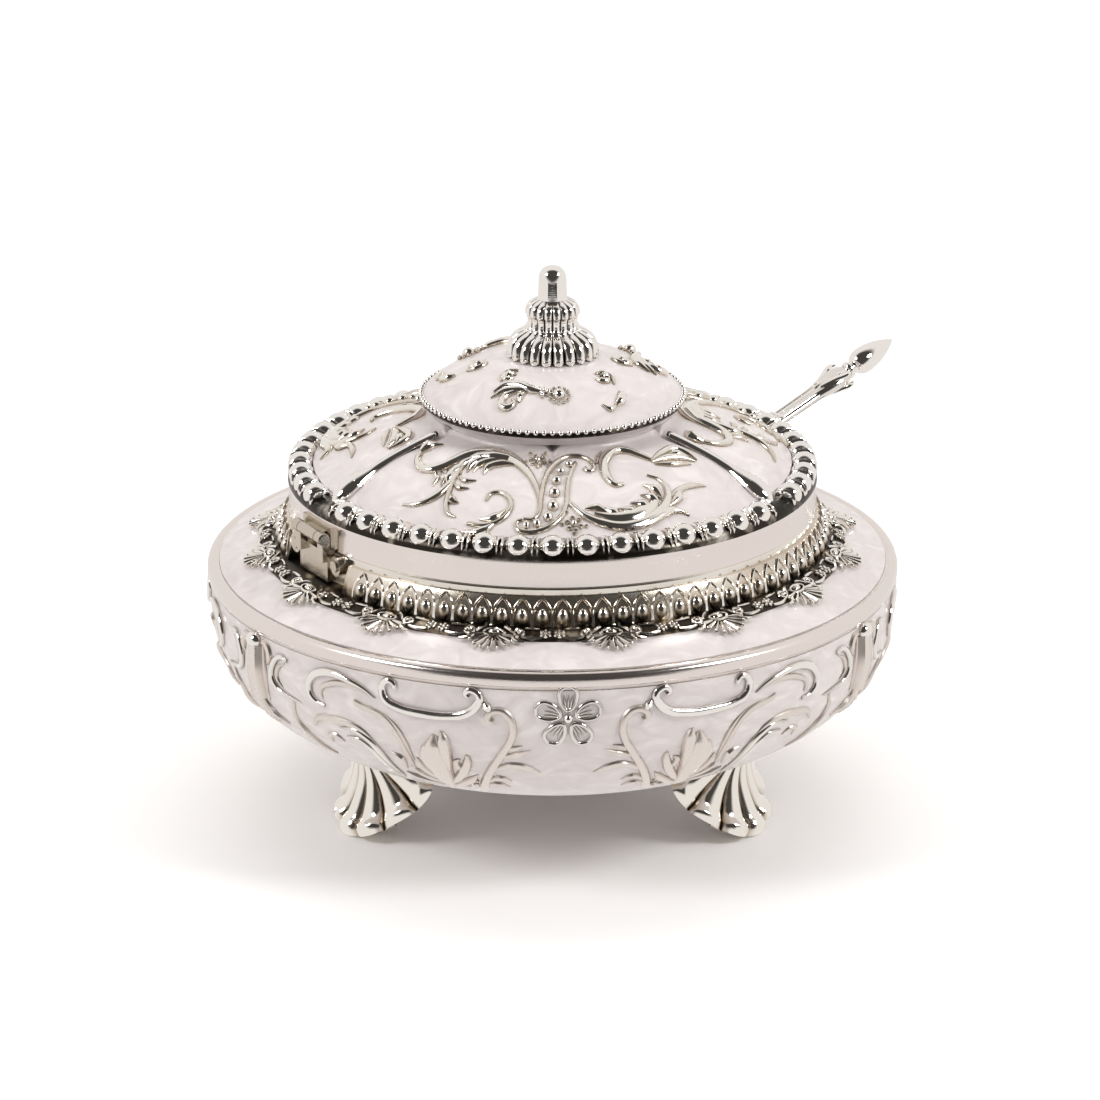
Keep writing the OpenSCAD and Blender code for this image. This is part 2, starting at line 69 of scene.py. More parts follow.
shell_low, shell_high = box_mm("bowl_shell")
BELLY_R = shell_high[0]
SIDE_TOP = shell_high[2]
UNDERSIDE = shell_low[2]
SIDE_H = 4.2
BELLY_Z = SIDE_TOP - SIDE_H
SIDE_POWER = 2.4
WALL = 1.8
THIN_WALL = 1.6
MOULDING_R = box_mm("rim_moulding")[1][0]
MOULDING_TOP = box_mm("rim_moulding")[1][2]
PLATE_R = box_mm("shoulder_plate")[1][0]
COLLAR_FOOT = box_mm("shoulder_plate")[1][2]
COLLAR_R = box_mm("lid_band")[1][0]
RIM_Z, BAND_TOP = box_mm("lid_band")[0][2], box_mm("lid_band")[1][2]
BEAD_OUT = box_mm("lid_bead_ring")[1][0]
CROWN_R = box_mm("crown_plate")[1][0]
NECK_Z, SEAT_Z = box_mm("crown_plate")[0][2], box_mm("crown_plate")[1][2]
print("belly radius", round(BELLY_R, 1), "rim height", round(RIM_Z, 1), "knob seat", round(SEAT_Z, 1))

# %% [markdown]
# Five surfaces carry ornament. Each gets one function from a flat drawing (x, y, height) to a place in
# space, so a scroll is drawn flat and then laid on the wall, as a founder presses a strip of wax on a core.
# The lid, crown and shoulder are seen from above: y runs towards the front. The bowl's side is unrolled:
# x runs along the belly, and y climbs the side from the belly line.

# %% The curved walls as functions
DOME_R = COLLAR_R + 2.6
DOME_H = 25.0
DOME_Z = BAND_TOP - 9.6
CROWN_CURVE_R = CROWN_R * 1.1
CROWN_RISE = 8.2
BELL_R = box_mm("knob_bell")[1][0]


def dome_at(r):
    return DOME_Z + DOME_H * math.sqrt(max(0.0, 1 - (r / DOME_R) ** 2))


def crown_at(r):
    seat_share = math.sqrt(1 - (BELL_R / CROWN_CURVE_R) ** 2)
    rise = CROWN_RISE / (seat_share - math.sqrt(1 - (CROWN_R / CROWN_CURVE_R) ** 2))
    return SEAT_Z + rise * (math.sqrt(max(0.0, 1 - (r / CROWN_CURVE_R) ** 2)) - seat_share)


def shoulder_at(r):
    return COLLAR_FOOT - (COLLAR_FOOT - MOULDING_TOP) / (PLATE_R - COLLAR_R) * (r - COLLAR_R)


def seen_from_above(height_at):
    """Lay (x towards the right, y towards the front, height) on a surface of revolution."""
    def place(p):
        r = math.hypot(p.x, p.y)
        slope = (height_at(r + 0.01) - height_at(r - 0.01)) / 0.02
        out = Vector((p.x, -p.y, 0)) / max(r, 1e-6)
        normal = Vector((-slope * out.x, -slope * out.y, 1)).normalized()
        return Vector((p.x, -p.y, height_at(r))) + normal * p.z
    return place


def side_point(turn, inset=0.0):
    """A point of the bowl's side: turn is 0 at the belly and 90 at the underside's middle."""
    t = math.radians(turn)
    return Vector(((BELLY_R - inset) * max(math.cos(t), 0.0) ** (2 / SIDE_POWER),
                   BELLY_Z - (BELLY_Z - UNDERSIDE - inset) * math.sin(t) ** (2 / SIDE_POWER)))


# Distance along the side from the belly, every quarter of a degree.
SIDE_TABLE = [(0.0, side_point(0))]
for step in range(1, 361):
    here = side_point(step / 4)
    SIDE_TABLE.append((SIDE_TABLE[-1][0] + (here - SIDE_TABLE[-1][1]).length, here))


def on_bowl(p):
    """Lay (x along the belly, y up the side, height) on the bowl, with y = 0 at the belly line."""
    if p.y >= 0:
        radius, z, nr, nz = BELLY_R, BELLY_Z + p.y, 1.0, 0.0
    else:
        depth = min(-p.y, SIDE_TABLE[-2][0])
        k = next(i for i, (length, _) in enumerate(SIDE_TABLE) if length >= depth)
        (a, pa), (b, pb) = SIDE_TABLE[max(k - 1, 0)], SIDE_TABLE[max(k, 1)]
        here = pa.lerp(pb, (depth - a) / (b - a))
        run = (pb - pa).normalized()
        radius, z, nr, nz = here.x, here.y, -run.y, run.x
    angle = p.x / BELLY_R
    out = Vector((math.sin(angle), -math.cos(angle), 0))
    return out * (radius + nr * p.z) + Vector((0, 0, z + nz * p.z))


on_lid = seen_from_above(dome_at)
on_crown = seen_from_above(crown_at)
on_shoulder = seen_from_above(shoulder_at)
print("side length from belly to middle", round(SIDE_TABLE[-1][0], 1), "mm")

# %% [markdown]
# Every finish starts from what the real surface is. A small set of helpers is enough: one turns sRGB hex
# values into the linear colours that the shader wants, one adds a node with its settings and links, and one
# starts a material with a Principled shader. Constants stay on the shader's own sockets.

# %% Helpers for finishes
def colour(code):
    parts = [int(code[i:i + 2], 16) / 255 for i in (1, 3, 5)]
    linear = [c / 12.92 if c <= 0.04045 else ((c + 0.055) / 1.055) ** 2.4 for c in parts]
    return (*linear, 1.0)


def add(material, kind, sockets=None, links=None, **settings):
    made = material.node_tree.nodes.new(kind)
    for name, value in settings.items():
        setattr(made, name, value)
    for name, value in (sockets or {}).items():
        made.inputs[name].default_value = value
    for name, source in (links or {}).items():
        material.node_tree.links.new(source, made.inputs[name])
    return made


def new_finish(name, **sockets):
    material = bpy.data.materials.new(name)
    material.use_nodes = True
    shader = material.node_tree.nodes["Principled BSDF"]
    for key, value in sockets.items():
        shader.inputs[key.replace("_", " ")].default_value = value
    return material, shader


# %% [markdown]
# Silver plate on a casting is a true metal: bright and almost white, with tight reflections. Two things stop
# it looking like a mirror ball: fine polishing lines, and a darker colour in the recesses. It is partly the
# tarnish that stays where the buffing wheel can't reach and partly painted shade: beige at first, and black
# where it is deepest. The recesses are an attribute called `recess`, written on each ornament's points when it
# is made, so the tarnish and the painted shade lie where a hand would find the tarnish. A cloudy noise breaks
# its edge.

# %% Silver plate, polished, with tarnish and painted shade in the recesses
def silver_finish(name, bright, film_and_shade, oxide_and_shade, low_rough, high_rough, lines_mm, film_and_shade_share):
    material, shader = new_finish(name, Metallic=1.0)
    place = add(material, "ShaderNodeTexCoord").outputs["Object"]
    recess = add(material, "ShaderNodeAttribute", attribute_name="recess").outputs["Fac"]
    cloud = add(material, "ShaderNodeTexNoise", {"Scale": 1 / (5 * MM), "Detail": 3.0}, {"Vector": place})
    fine = add(material, "ShaderNodeTexNoise", {"Scale": 1 / (0.6 * MM), "Detail": 2.0}, {"Vector": place})
    broken = add(material, "ShaderNodeMath", {1: 1.4}, {0: cloud.outputs["Fac"]}, operation="MULTIPLY")
    # Tarnish and painted shade together: the recess mark, broken by the cloud, sets how much beige and then
    # black each point takes.
    toned_and_shaded = add(material, "ShaderNodeMath", None, {0: recess, 1: broken.outputs[0]}, operation="MULTIPLY")
    share = add(material, "ShaderNodeMath", {1: film_and_shade_share}, {0: toned_and_shaded.outputs[0]},
                operation="MULTIPLY", use_clamp=True)
    tone = add(material, "ShaderNodeMix", {6: colour(bright), 7: colour(film_and_shade)}, {0: share.outputs[0]},
               data_type="RGBA")
    deep = add(material, "ShaderNodeMapRange", {"From Min": 0.6, "From Max": 0.95, "To Max": 0.93},
               {"Value": toned_and_shaded.outputs[0]})
    blackened_and_shaded = add(material, "ShaderNodeMix", {7: colour(oxide_and_shade)}, {0: deep.outputs[0], 6: tone.outputs[2]},
                    data_type="RGBA")
    material.node_tree.links.new(blackened_and_shaded.outputs[2], shader.inputs["Base Color"])
    spread = add(material, "ShaderNodeMapRange", {"To Min": low_rough, "To Max": high_rough},
                 {"Value": fine.outputs["Fac"]})
    rough = add(material, "ShaderNodeMath", {1: 0.25}, {0: share.outputs[0], 2: spread.outputs[0]},
                operation="MULTIPLY_ADD", use_clamp=True)
    material.node_tree.links.new(rough.outputs[0], shader.inputs["Roughness"])
    stretch = add(material, "ShaderNodeMapping", {"Scale": (1.0, 1.0, 14.0)}, {"Vector": place})
    lines = add(material, "ShaderNodeTexNoise", {"Scale": 1 / (lines_mm * MM), "Detail": 4.0},
                {"Vector": stretch.outputs[0]})
    bump = add(material, "ShaderNodeBump", {"Strength": 0.12, "Distance": 0.00006},
               {"Height": lines.outputs["Fac"]})
    material.node_tree.links.new(bump.outputs[0], shader.inputs["Normal"])
    return material


# Buffed plate: sharp reflections, and grooves that go black, as tarnish and painted shade.
polished = silver_finish("silver_plate_polished", "#F8F5F1", "#8C8070", "#23201D", 0.03, 0.09, 3.0, 1.0)
# Cast plate that was wiped, not buffed: beige tarnish and black round every raised part, partly painted shade.
toned_and_shaded = silver_finish("silver_plate_wiped_and_shaded", "#F7F3EC", "#C0AF98", "#1C1916", 0.06, 0.15, 2.0, 1.4)
# Plate rubbed along the turning: a broad soft shine on the moulding and the lid's band.
brushed = silver_finish("silver_plate_brushed", "#F0E8E4", "#978C80", "#2A2623", 0.13, 0.24, 1.2, 1.0)
# Plate under a thin wash of enamel: almost the ground's colour, with only a silky sheen.
satin = silver_finish("silver_plate_satin", "#F0E8E2", "#CBBFB5", "#6B5F56", 0.20, 0.34, 2.0, 0.9)
# Nickel strip, handled and tarnished: yellower and duller than the silver beside it.
hinge_metal = silver_finish("nickel_hinge_worn", "#CFC6B8", "#7F6E55", "#2B241C", 0.14, 0.30, 1.5, 1.6)
# Plain turned steel: grey, with a fine lathe grain.
screw_metal = silver_finish("steel_brushed", "#B9B7B4", "#6E675E", "#2E2B28", 0.22, 0.38, 1.0, 1.0)
print("metal finishes:", [m.name for m in (polished, toned_and_shaded, brushed, satin, hinge_metal, screw_metal)])

# %% [markdown]
# The pale ground is a pearl enamel paint: a warm pinkish white with mica in it, brushed on by hand and
# lacquered. What the eye reads is soft overlapping strokes a few millimetres wide, and a gentle gloss that is
# clearer than the paint below it. So the colour has stretched noise for the strokes, and the gloss is a coat.

# %% Pearl enamel
def enamel_finish(name, base, shade, light, stroke_mm):
    material, shader = new_finish(name, Metallic=0.0, IOR=1.5, Coat_Weight=0.45, Coat_Roughness=0.14)
    place = add(material, "ShaderNodeTexCoord").outputs["Object"]
    warp = add(material, "ShaderNodeTexNoise", {"Scale": 1 / (18 * MM), "Detail": 2.0}, {"Vector": place})
    pushed = add(material, "ShaderNodeVectorMath", {1: (0.012, 0.012, 0.012)},
                 {0: warp.outputs["Color"], 2: place}, operation="MULTIPLY_ADD")
    stretch = add(material, "ShaderNodeMapping", {"Scale": (1.0, 1.0, 2.6), "Rotation": (0.5, 0.3, 0.2)},
                  {"Vector": pushed.outputs[0]})
    strokes = add(material, "ShaderNodeTexNoise",
                  {"Scale": 1 / (stroke_mm * MM), "Detail": 3.0, "Roughness": 0.45, "Distortion": 0.8},
                  {"Vector": stretch.outputs[0]})
    dark = add(material, "ShaderNodeMapRange", {"From Min": 0.5, "From Max": 0.68, "To Max": 0.55},
               {"Value": strokes.outputs["Fac"]})
    pale = add(material, "ShaderNodeMapRange", {"From Min": 0.46, "From Max": 0.32, "To Max": 0.7},
               {"Value": strokes.outputs["Fac"]})
    first = add(material, "ShaderNodeMix", {6: colour(base), 7: colour(shade)}, {0: dark.outputs[0]},
                data_type="RGBA")
    second = add(material, "ShaderNodeMix", {7: colour(light)}, {0: pale.outputs[0], 6: first.outputs[2]},
                 data_type="RGBA")
    material.node_tree.links.new(second.outputs[2], shader.inputs["Base Color"])
    rough = add(material, "ShaderNodeMapRange", {"To Min": 0.3, "To Max": 0.46},
                {"Value": strokes.outputs["Fac"]})
    material.node_tree.links.new(rough.outputs[0], shader.inputs["Roughness"])
    bump = add(material, "ShaderNodeBump", {"Strength": 0.35, "Distance": 0.00012},
               {"Height": strokes.outputs["Fac"]})
    material.node_tree.links.new(bump.outputs[0], shader.inputs["Normal"])
    return material


enamel = enamel_finish("pearl_enamel_brushed", "#D2CAC8", "#C5BCBA", "#DFD8D6", 6.0)
print("enamel:", enamel.name)

# %% [markdown]
# All pieces end the same way: doubles merged, normals outwards, metres, smooth shading with sharp edges kept,
# a finish, and the body that the piece rides on. One function does that, so no piece can miss a step.

# %% Finish a piece
MADE = []


def make_piece(name, bm, body, finishes, replaces=(), sharp=38):
    bmesh.ops.remove_doubles(bm, verts=bm.verts, dist=MERGE)
    bmesh.ops.recalc_face_normals(bm, faces=bm.faces)
    bmesh.ops.scale(bm, vec=(MM, MM, MM), verts=bm.verts)
    for face in bm.faces:
        face.smooth = True
    mesh = bpy.data.meshes.new(name)
    bm.to_mesh(mesh)
    bm.free()
    mesh.set_sharp_from_angle(angle=math.radians(sharp))
    for finish in finishes:
        mesh.materials.append(finish)
    piece = bpy.data.objects.new(name, mesh)
    bpy.context.collection.objects.link(piece)
    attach(piece, body)
    if replaces:
        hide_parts(*replaces)
    MADE.append(piece)
    print(name, len(mesh.polygons), "faces")
    return piece


# %% [markdown]
# Most of this object was turned or cast round, so most forms are a section spun about Z. `arc` adds a rounded
# stretch to a section by a quadratic bend, and `turned` spins the section. Where a section starts or ends on
# the axis, merging the doubles closes the pole.

# %% Turned forms
def arc(a, c, b, steps=6):
    a, c, b = Vector(a), Vector(c), Vector(b)
    points = []
    for i in range(steps + 1):
        t = i / steps
        points.append(tuple(a * (1 - t) ** 2 + c * 2 * t * (1 - t) + b * t ** 2))
    return points


def turned(section, steps=192, closed=True):
    bm = bmesh.new()
    verts = [bm.verts.new((r, 0, z)) for r, z in section]
    edges = [bm.edges.new(pair) for pair in zip(verts, verts[1:])]
    if closed:
        edges.append(bm.edges.new((verts[-1], verts[0])))
    bmesh.ops.spin(bm, geom=verts + edges, cent=(0, 0, 0), axis=(0, 0, 1), angle=math.tau,
                   steps=steps, use_merge=True)
    bmesh.ops.remove_doubles(bm, verts=bm.verts, dist=MERGE)
    bm.verts.layers.float.new("recess")
    return bm


def bearing_of(co):
    return math.degrees(math.atan2(co.x, -co.y))


def apart(a, b):
    """Degrees between two bearings."""
    return abs((a - b + 180) % 360 - 180)


def turn_to(bm, verts, bearing):
    """Turn points drawn at the front round to a bearing."""
    bmesh.ops.rotate(bm, verts=verts, cent=(0, 0, 0), matrix=Matrix.Rotation(math.radians(bearing), 3, "Z"))


# %% [markdown]
# Scrolls, stems and leaves are all strokes: a line with a half width that swells and thins, like a brush
# stroke. Blender's curves do that well: a Bezier spline with a radius at each point and a round bevel.
# A whole motif is drawn flat as one curve object, made a mesh, squashed to a low relief, and laid on its
# wall. The height above the wall is kept as the recess attribute before the mesh is bent.

# %% Draw strokes
def swell(widths, share):
    """Half width along a stroke from its start, middle and end widths."""
    start, middle, end = widths
    if share < 0.5:
        return start + (middle - start) * math.sin(math.pi * share)
    return end + (middle - end) * math.sin(math.pi * share)


def draw(strokes, flatten=0.75, lift=0.0, sides=2, smooth=4, bold=1.0):
    """Make a bmesh of strokes [(start, middle, end half widths), (x, y), (x, y), ...], widened by bold."""
    curve = bpy.data.curves.new("strokes", "CURVE")
    curve.dimensions = "3D"
    curve.bevel_depth = 1.0
    curve.bevel_resolution = sides
    curve.resolution_u = smooth
    curve.use_fill_caps = True
    for widths, *points in strokes:
        spline = curve.splines.new("BEZIER")
        spline.bezier_points.add(len(points) - 1)
        for i, (knot, point) in enumerate(zip(spline.bezier_points, points)):
            knot.co = (point[0], point[1], 0.0)
            knot.handle_left_type = knot.handle_right_type = "AUTO"
            knot.radius = max(bold * swell(widths, i / (len(points) - 1)), 0.05)
    drawing = bpy.data.objects.new("strokes", curve)
    bpy.context.collection.objects.link(drawing)
    mesh = bpy.data.meshes.new_from_object(drawing)
    bpy.data.objects.remove(drawing)
    bpy.data.curves.remove(curve)
    bm = bmesh.new()
    bm.from_mesh(mesh)
    bpy.data.meshes.remove(mesh)
    for vert in bm.verts:
        vert.co.z = vert.co.z * flatten + lift
    bm.verts.layers.float.new("recess")
    return bm


def ball(bm, x, y, radii, height=0.0, segments=12):
    """Add a squashed ball to a flat drawing."""
    place = Matrix.Translation((x, y, height)) @ Matrix.Diagonal((*radii, 1))
    return bmesh.ops.create_uvsphere(bm, u_segments=segments, v_segments=segments // 2 + 1, radius=1.0,
                                     matrix=place)["verts"]


def polar(x, y, reach, degrees):
    a = math.radians(degrees)
    return x + reach * math.sin(a), y + reach * math.cos(a)


def balls_round(bm, x, y, reach, count, radii, height, start=0.0):
    """Add a ring of small balls round a point of a flat drawing."""
    for k in range(count):
        ball(bm, *polar(x, y, reach, 360 / count * k + start), radii, height, 6)


def mirrored(strokes):
    return strokes + [[widths, *[(-x, y) for x, y in points]] for widths, *points in strokes]


def join(target, source):
    """Append one bmesh to another and free it."""
    mesh = bpy.data.meshes.new("part")
    source.to_mesh(mesh)
    source.free()
    target.from_mesh(mesh)
    bpy.data.meshes.remove(mesh)


def slide_to(bm, verts, x):
    bmesh.ops.translate(bm, verts=verts, vec=(x, 0, 0))


def repeat(bm, move, places):
    """Copy a whole drawing to more places, along x with slide_to or round the axis with turn_to."""
    whole = list(bm.verts) + list(bm.edges) + list(bm.faces)
    for place in places:
        made = bmesh.ops.duplicate(bm, geom=whole)["geom"]
        move(bm, [g for g in made if isinstance(g, bmesh.types.BMVert)], place)


def add_copies(target, source, move, places):
    """Append one copy of a small form for each place, put there by move(target, verts, place)."""
    mesh = bpy.data.meshes.new("copy")
    source.to_mesh(mesh)
    source.free()
    for place in places:
        first = len(target.verts)
        target.from_mesh(mesh)
        target.verts.ensure_lookup_table()
        move(target, target.verts[first:], place)
    bpy.data.meshes.remove(mesh)


def lay(bm, place):
    for vert in bm.verts:
        vert.co = place(vert.co)


def set_recess(bm, amount_at):
    """Write the recess attribute from a function of each point's place."""
    layer = bm.verts.layers.float["recess"]
    for vert in bm.verts:
        vert[layer] = amount_at(vert.co)


def mark_recess(bm, top):
    """A flat drawing is in the recess at its foot and clear of it from the given height."""
    # Painted shade: the foot of every stroke takes the darker recess colour, fading out by the given height.
    set_recess(bm, lambda co: min(max(1 - co.z / top, 0.0), 1.0))


# %% [markdown]
# ## The bowl
# The shell is a squat cast wall. Its side is a superellipse, rounder than a cylinder and squarer than a ball,
# turned with its inner wall in one section. The outside is enamelled and the inside is left as plated metal,
# so the faces that look at the axis take the second finish.

# %% Bowl shell
SIDE_STEPS = 56
turns = [90 * i / SIDE_STEPS for i in range(SIDE_STEPS + 1)]
outer = [tuple(side_point(90 - turn)) for turn in turns]
inner = [tuple(side_point(turn, WALL)) for turn in turns]
bowl = turned(outer + [(BELLY_R, SIDE_TOP), (BELLY_R - WALL, SIDE_TOP)] + inner, 240, closed=False)
bmesh.ops.recalc_face_normals(bowl, faces=bowl.faces)
for face in bowl.faces:
    centre = face.calc_center_median()
    outwards = face.normal.dot(Vector((centre.x, centre.y, centre.z - BELLY_Z - 20)))
    face.material_index = 0 if outwards > 0 else 1
make_piece("bowl_shell_enamelled", bowl, "bowl", [enamel, polished], ["bowl_shell"])

# %% [markdown]
# The moulding is a plain polished bead between the side and the shoulder. Its rounded top edge is what draws
# the long dark line round the bowl, so the section has a true radius there and a shallow step below.

# %% Rim moulding, shoulder and collar
top, side = MOULDING_TOP, MOULDING_R
moulding_section = (
    [(PLATE_R - 1.6, SIDE_TOP), (BELLY_R - 0.1, SIDE_TOP), (BELLY_R + 0.15, SIDE_TOP + 0.25)]
    + arc((BELLY_R + 0.15, SIDE_TOP + 0.7), (side, SIDE_TOP + 0.8), (side, SIDE_TOP + 1.7), 5)
    + arc((side, top - 1.5), (side - 0.1, top), (side - 1.7, top), 8)
    + [(PLATE_R + 0.1, top - 0.12), (PLATE_R, top - 0.2), (PLATE_R - 1.6, top - 1.6)]
)
moulding = turned(moulding_section, 240)
# Painted shade: the step below the moulding's bead is marked as a recess, so it takes the darker colour.
set_recess(moulding, lambda co: 0.7 if co.z < SIDE_TOP + 0.5 else 0.0)
make_piece("rim_moulding_polished", moulding, "bowl", [brushed], ["rim_moulding"])

plate = turned([(COLLAR_R, COLLAR_FOOT), (COLLAR_R, COLLAR_FOOT - THIN_WALL),
                (PLATE_R, MOULDING_TOP - THIN_WALL), (PLATE_R, MOULDING_TOP),
                (PLATE_R - 4, shoulder_at(PLATE_R - 4))])
make_piece("shoulder_plate_enamelled", plate, "bowl", [enamel], ["shoulder_plate"])

COLLAR_IN = COLLAR_R - 2
collar = turned([(COLLAR_IN, COLLAR_FOOT - 3), (COLLAR_R + 1.6, COLLAR_FOOT - 3),
                 (COLLAR_R + 1.6, COLLAR_FOOT - 2.1), (COLLAR_R, COLLAR_FOOT - 1.6),
                 (COLLAR_R, RIM_Z - 0.3), (COLLAR_R - 0.3, RIM_Z),
                 (COLLAR_IN + 0.3, RIM_Z), (COLLAR_IN, RIM_Z - 0.3)], 240)
# Painted shade: the collar is marked darker below the rim, where the gallery stands in front of it.
set_recess(collar, lambda co: 0.9 if co.z < RIM_Z - 1 else 0.15)
make_piece("collar_ring_polished", collar, "bowl", [toned_and_shaded], ["collar_ring"])

# %% [markdown]
# The side carries one panel three times. A panel is drawn once, left half only, and mirrored: a bracket bar
# between two volutes, a reversed S stem with thin leaves, an upright acanthus leaf with side lobes, long
# stems, and double C scrolls that run out to the pillar over each foot. A five petal flower sits on the
# middle line. Stems and leaves are left satin and half painted over. The brackets, the flower and the scroll
# heads are polished bright. Numbers are millimetres from the panel's middle and from the belly line.

# %% The panel on the bowl's side
PANEL_TURN = 3.0
bright_half = [
    [(0.45, 0.8, 0.45), (-34.6, 2.2), (-34.7, 3.0), (-35.8, 3.6), (-37.0, 2.8), (-37.2, 1.0), (-36.2, -0.7),
     (-34.0, -1.6), (-29.0, -2.1), (-22.8, -1.9), (-19.6, -1.0), (-17.6, 0.9), (-17.1, 2.3), (-17.9, 3.5),
     (-19.4, 3.7), (-19.9, 2.9), (-19.2, 2.4)],
    [(0.15, 0.8, 0.2), (-16.3, 1.6), (-15.8, 0.6), (-14.8, -0.5)],
    [(0.12, 0.75, 0.3), (-38.9, -0.7), (-41.6, 0.8), (-45.0, 1.8), (-48.6, 2.4), (-52.0, 1.9), (-54.6, 0.2),
     (-55.4, -2.4), (-53.9, -4.5), (-51.4, -5.0)],
    [(0.4, 0.6, 0.12), (-61.8, 1.6), (-63.9, 1.9), (-66.2, -0.2), (-66.8, -3.0), (-65.2, -5.1), (-62.2, -5.9),
     (-58.4, -6.4)],
    [(0.1, 0.6, 0.15), (-48.6, -9.4), (-45.2, -8.9), (-42.2, -10.1), (-40.2, -12.8), (-39.0, -16.8),
     (-38.0, -22.6)],
    [(0.1, 0.55, 0.15), (-47.4, -11.3), (-44.2, -11.2), (-42.0, -12.9), (-40.6, -15.8), (-39.6, -19.6),
     (-38.4, -24.0)],
]
satin_half = [
    [(0.5, 0.62, 0.9), (-14.5, -2.5), (-15.4, -2.2), (-15.5, -1.2), (-13.6, -0.1), (-11.7, -1.0),
     (-10.7, -3.3), (-11.0, -6.0), (-13.0, -9.8), (-15.1, -13.6), (-17.2, -18.6), (-18.6, -23.5)],
    [(0.35, 0.5, 0.1), (-13.0, -10.5), (-10.2, -9.8), (-7.1, -8.6)],
    [(0.3, 0.45, 0.1), (-11.7, -8.6), (-10.4, -8.2), (-8.9, -7.6)],
    [(0.4, 0.6, 0.1), (-15.0, -14.6), (-11.4, -12.8), (-8.3, -13.3), (-5.4, -15.2)],
    [(0.4, 0.6, 0.1), (-16.9, -19.6), (-14.0, -17.6), (-11.8, -19.2)],
    [(0.4, 0.5, 0.1), (-17.6, -21.4), (-14.6, -20.6), (-12.6, -22.6)],
    [(0.4, 0.55, 0.12), (-43.9, -2.3), (-42.2, -3.0), (-40.0, -3.4), (-37.2, -4.5), (-34.9, -7.2),
     (-33.6, -11.0), (-33.0, -14.8), (-33.4, -19.8)],
    [(0.1, 0.4, 0.12), (-37.0, -3.7), (-34.4, -6.3), (-33.0, -9.6), (-32.3, -14.4)],
    [(0.1, 0.5, 0.25), (-39.6, -0.6), (-43.2, 0.5), (-46.9, 0.7), (-50.0, -0.1), (-52.2, -1.7),
     (-52.0, -3.6)],
    [(0.1, 0.45, 0.12), (-62.6, 0.8), (-64.8, -0.8), (-65.2, -3.0), (-63.6, -4.6)],
    [(0.15, 0.7, 0.2), (-60.6, -7.0), (-61.8, -10.5), (-60.5, -14.2), (-58.4, -17.8), (-55.6, -20.6)],
    [(0.3, 0.62, 0.12), (-56.0, -10.9), (-54.0, -8.6), (-50.3, -7.8), (-46.1, -7.7), (-42.5, -8.9),
     (-40.4, -11.4)],
    [(0.3, 0.5, 0.1), (-52.8, -14.6), (-52.4, -12.6), (-50.3, -12.0), (-48.8, -13.4)],
    [(0.1, 0.9, 0.15), (-37.4, -13.0), (-35.6, -14.4), (-35.2, -18.4)],
]
acanthus = [
    [(0.6, 2.0, 0.4), (-26.6, -24.0), (-26.3, -18.5), (-26.5, -13.5), (-26.9, -9.0), (-26.6, -6.6)],
    [(0.5, 1.3, 0.3), (-26.0, -20.0), (-25.2, -15.0), (-24.8, -10.5), (-24.7, -7.4), (-25.0, -5.6)],
    [(0.4, 1.0, 0.3), (-27.4, -19.6), (-28.6, -15.5), (-29.1, -12.4), (-28.7, -10.0), (-28.0, -8.6)],
    [(0.4, 0.7, 0.15), (-27.6, -21.0), (-29.8, -18.2), (-31.2, -15.4), (-31.4, -13.4)],
    [(0.4, 0.7, 0.15), (-27.8, -22.8), (-30.6, -20.6), (-32.6, -18.6), (-33.6, -16.8)],
    [(0.4, 0.8, 0.15), (-28.0, -24.4), (-31.4, -22.8), (-34.2, -21.6), (-36.2, -20.2)],
    [(0.5, 0.9, 0.3), (-25.6, -22.0), (-23.2, -18.6), (-21.4, -15.4), (-20.3, -12.6), (-20.2, -10.8)],
    [(0.4, 0.6, 0.2), (-21.6, -15.6), (-22.6, -14.4), (-22.8, -13.0), (-22.0, -12.2)],
    [(0.4, 0.8, 0.15), (-25.4, -24.0), (-22.6, -21.4), (-20.4, -19.2), (-18.9, -17.2)],
]
pillar_half = [
    [(0.3, 0.5, 0.3), (2.9, 2.4), (3.2, -3.0), (2.6, -9.4)],
    [(0.4, 0.7, 0.2), (2.4, 3.2), (4.4, 2.6), (5.0, 0.4), (4.0, -1.0)],
    [(0.2, 0.9, 0.2), (0, -9.6), (2.6, -13.0), (6.2, -14.6)],
]
pillar_middle = [
    [(1.6, 2.1, 1.9), (0, 2.2), (0, -3.0), (0, -9.0)],
    [(0.3, 1.1, 0.3), (0, -9.6), (0, -13.0), (0, -16.5)],
]
PANEL_PITCH = math.tau * BELLY_R / 3
FLOWER_Y = -1.3


def flower(x, y, petals, reach, long, wide, rim):
    """Ring petals round a middle: each is a closed hoop, narrow at the middle and round outside."""
    strokes = []
    for k in range(petals):
        a = math.tau * k / petals
        hoop = []
        for i in range(9):
            t = math.tau * i / 8
            along, across = reach + long * math.cos(t), wide * math.sin(t) * (0.85 + 0.22 * math.cos(t))
            hoop.append((x + along * math.sin(a) + across * math.cos(a),
                         y + along * math.cos(a) - across * math.sin(a)))
        strokes.append([(rim, rim, rim), *hoop])
    return strokes


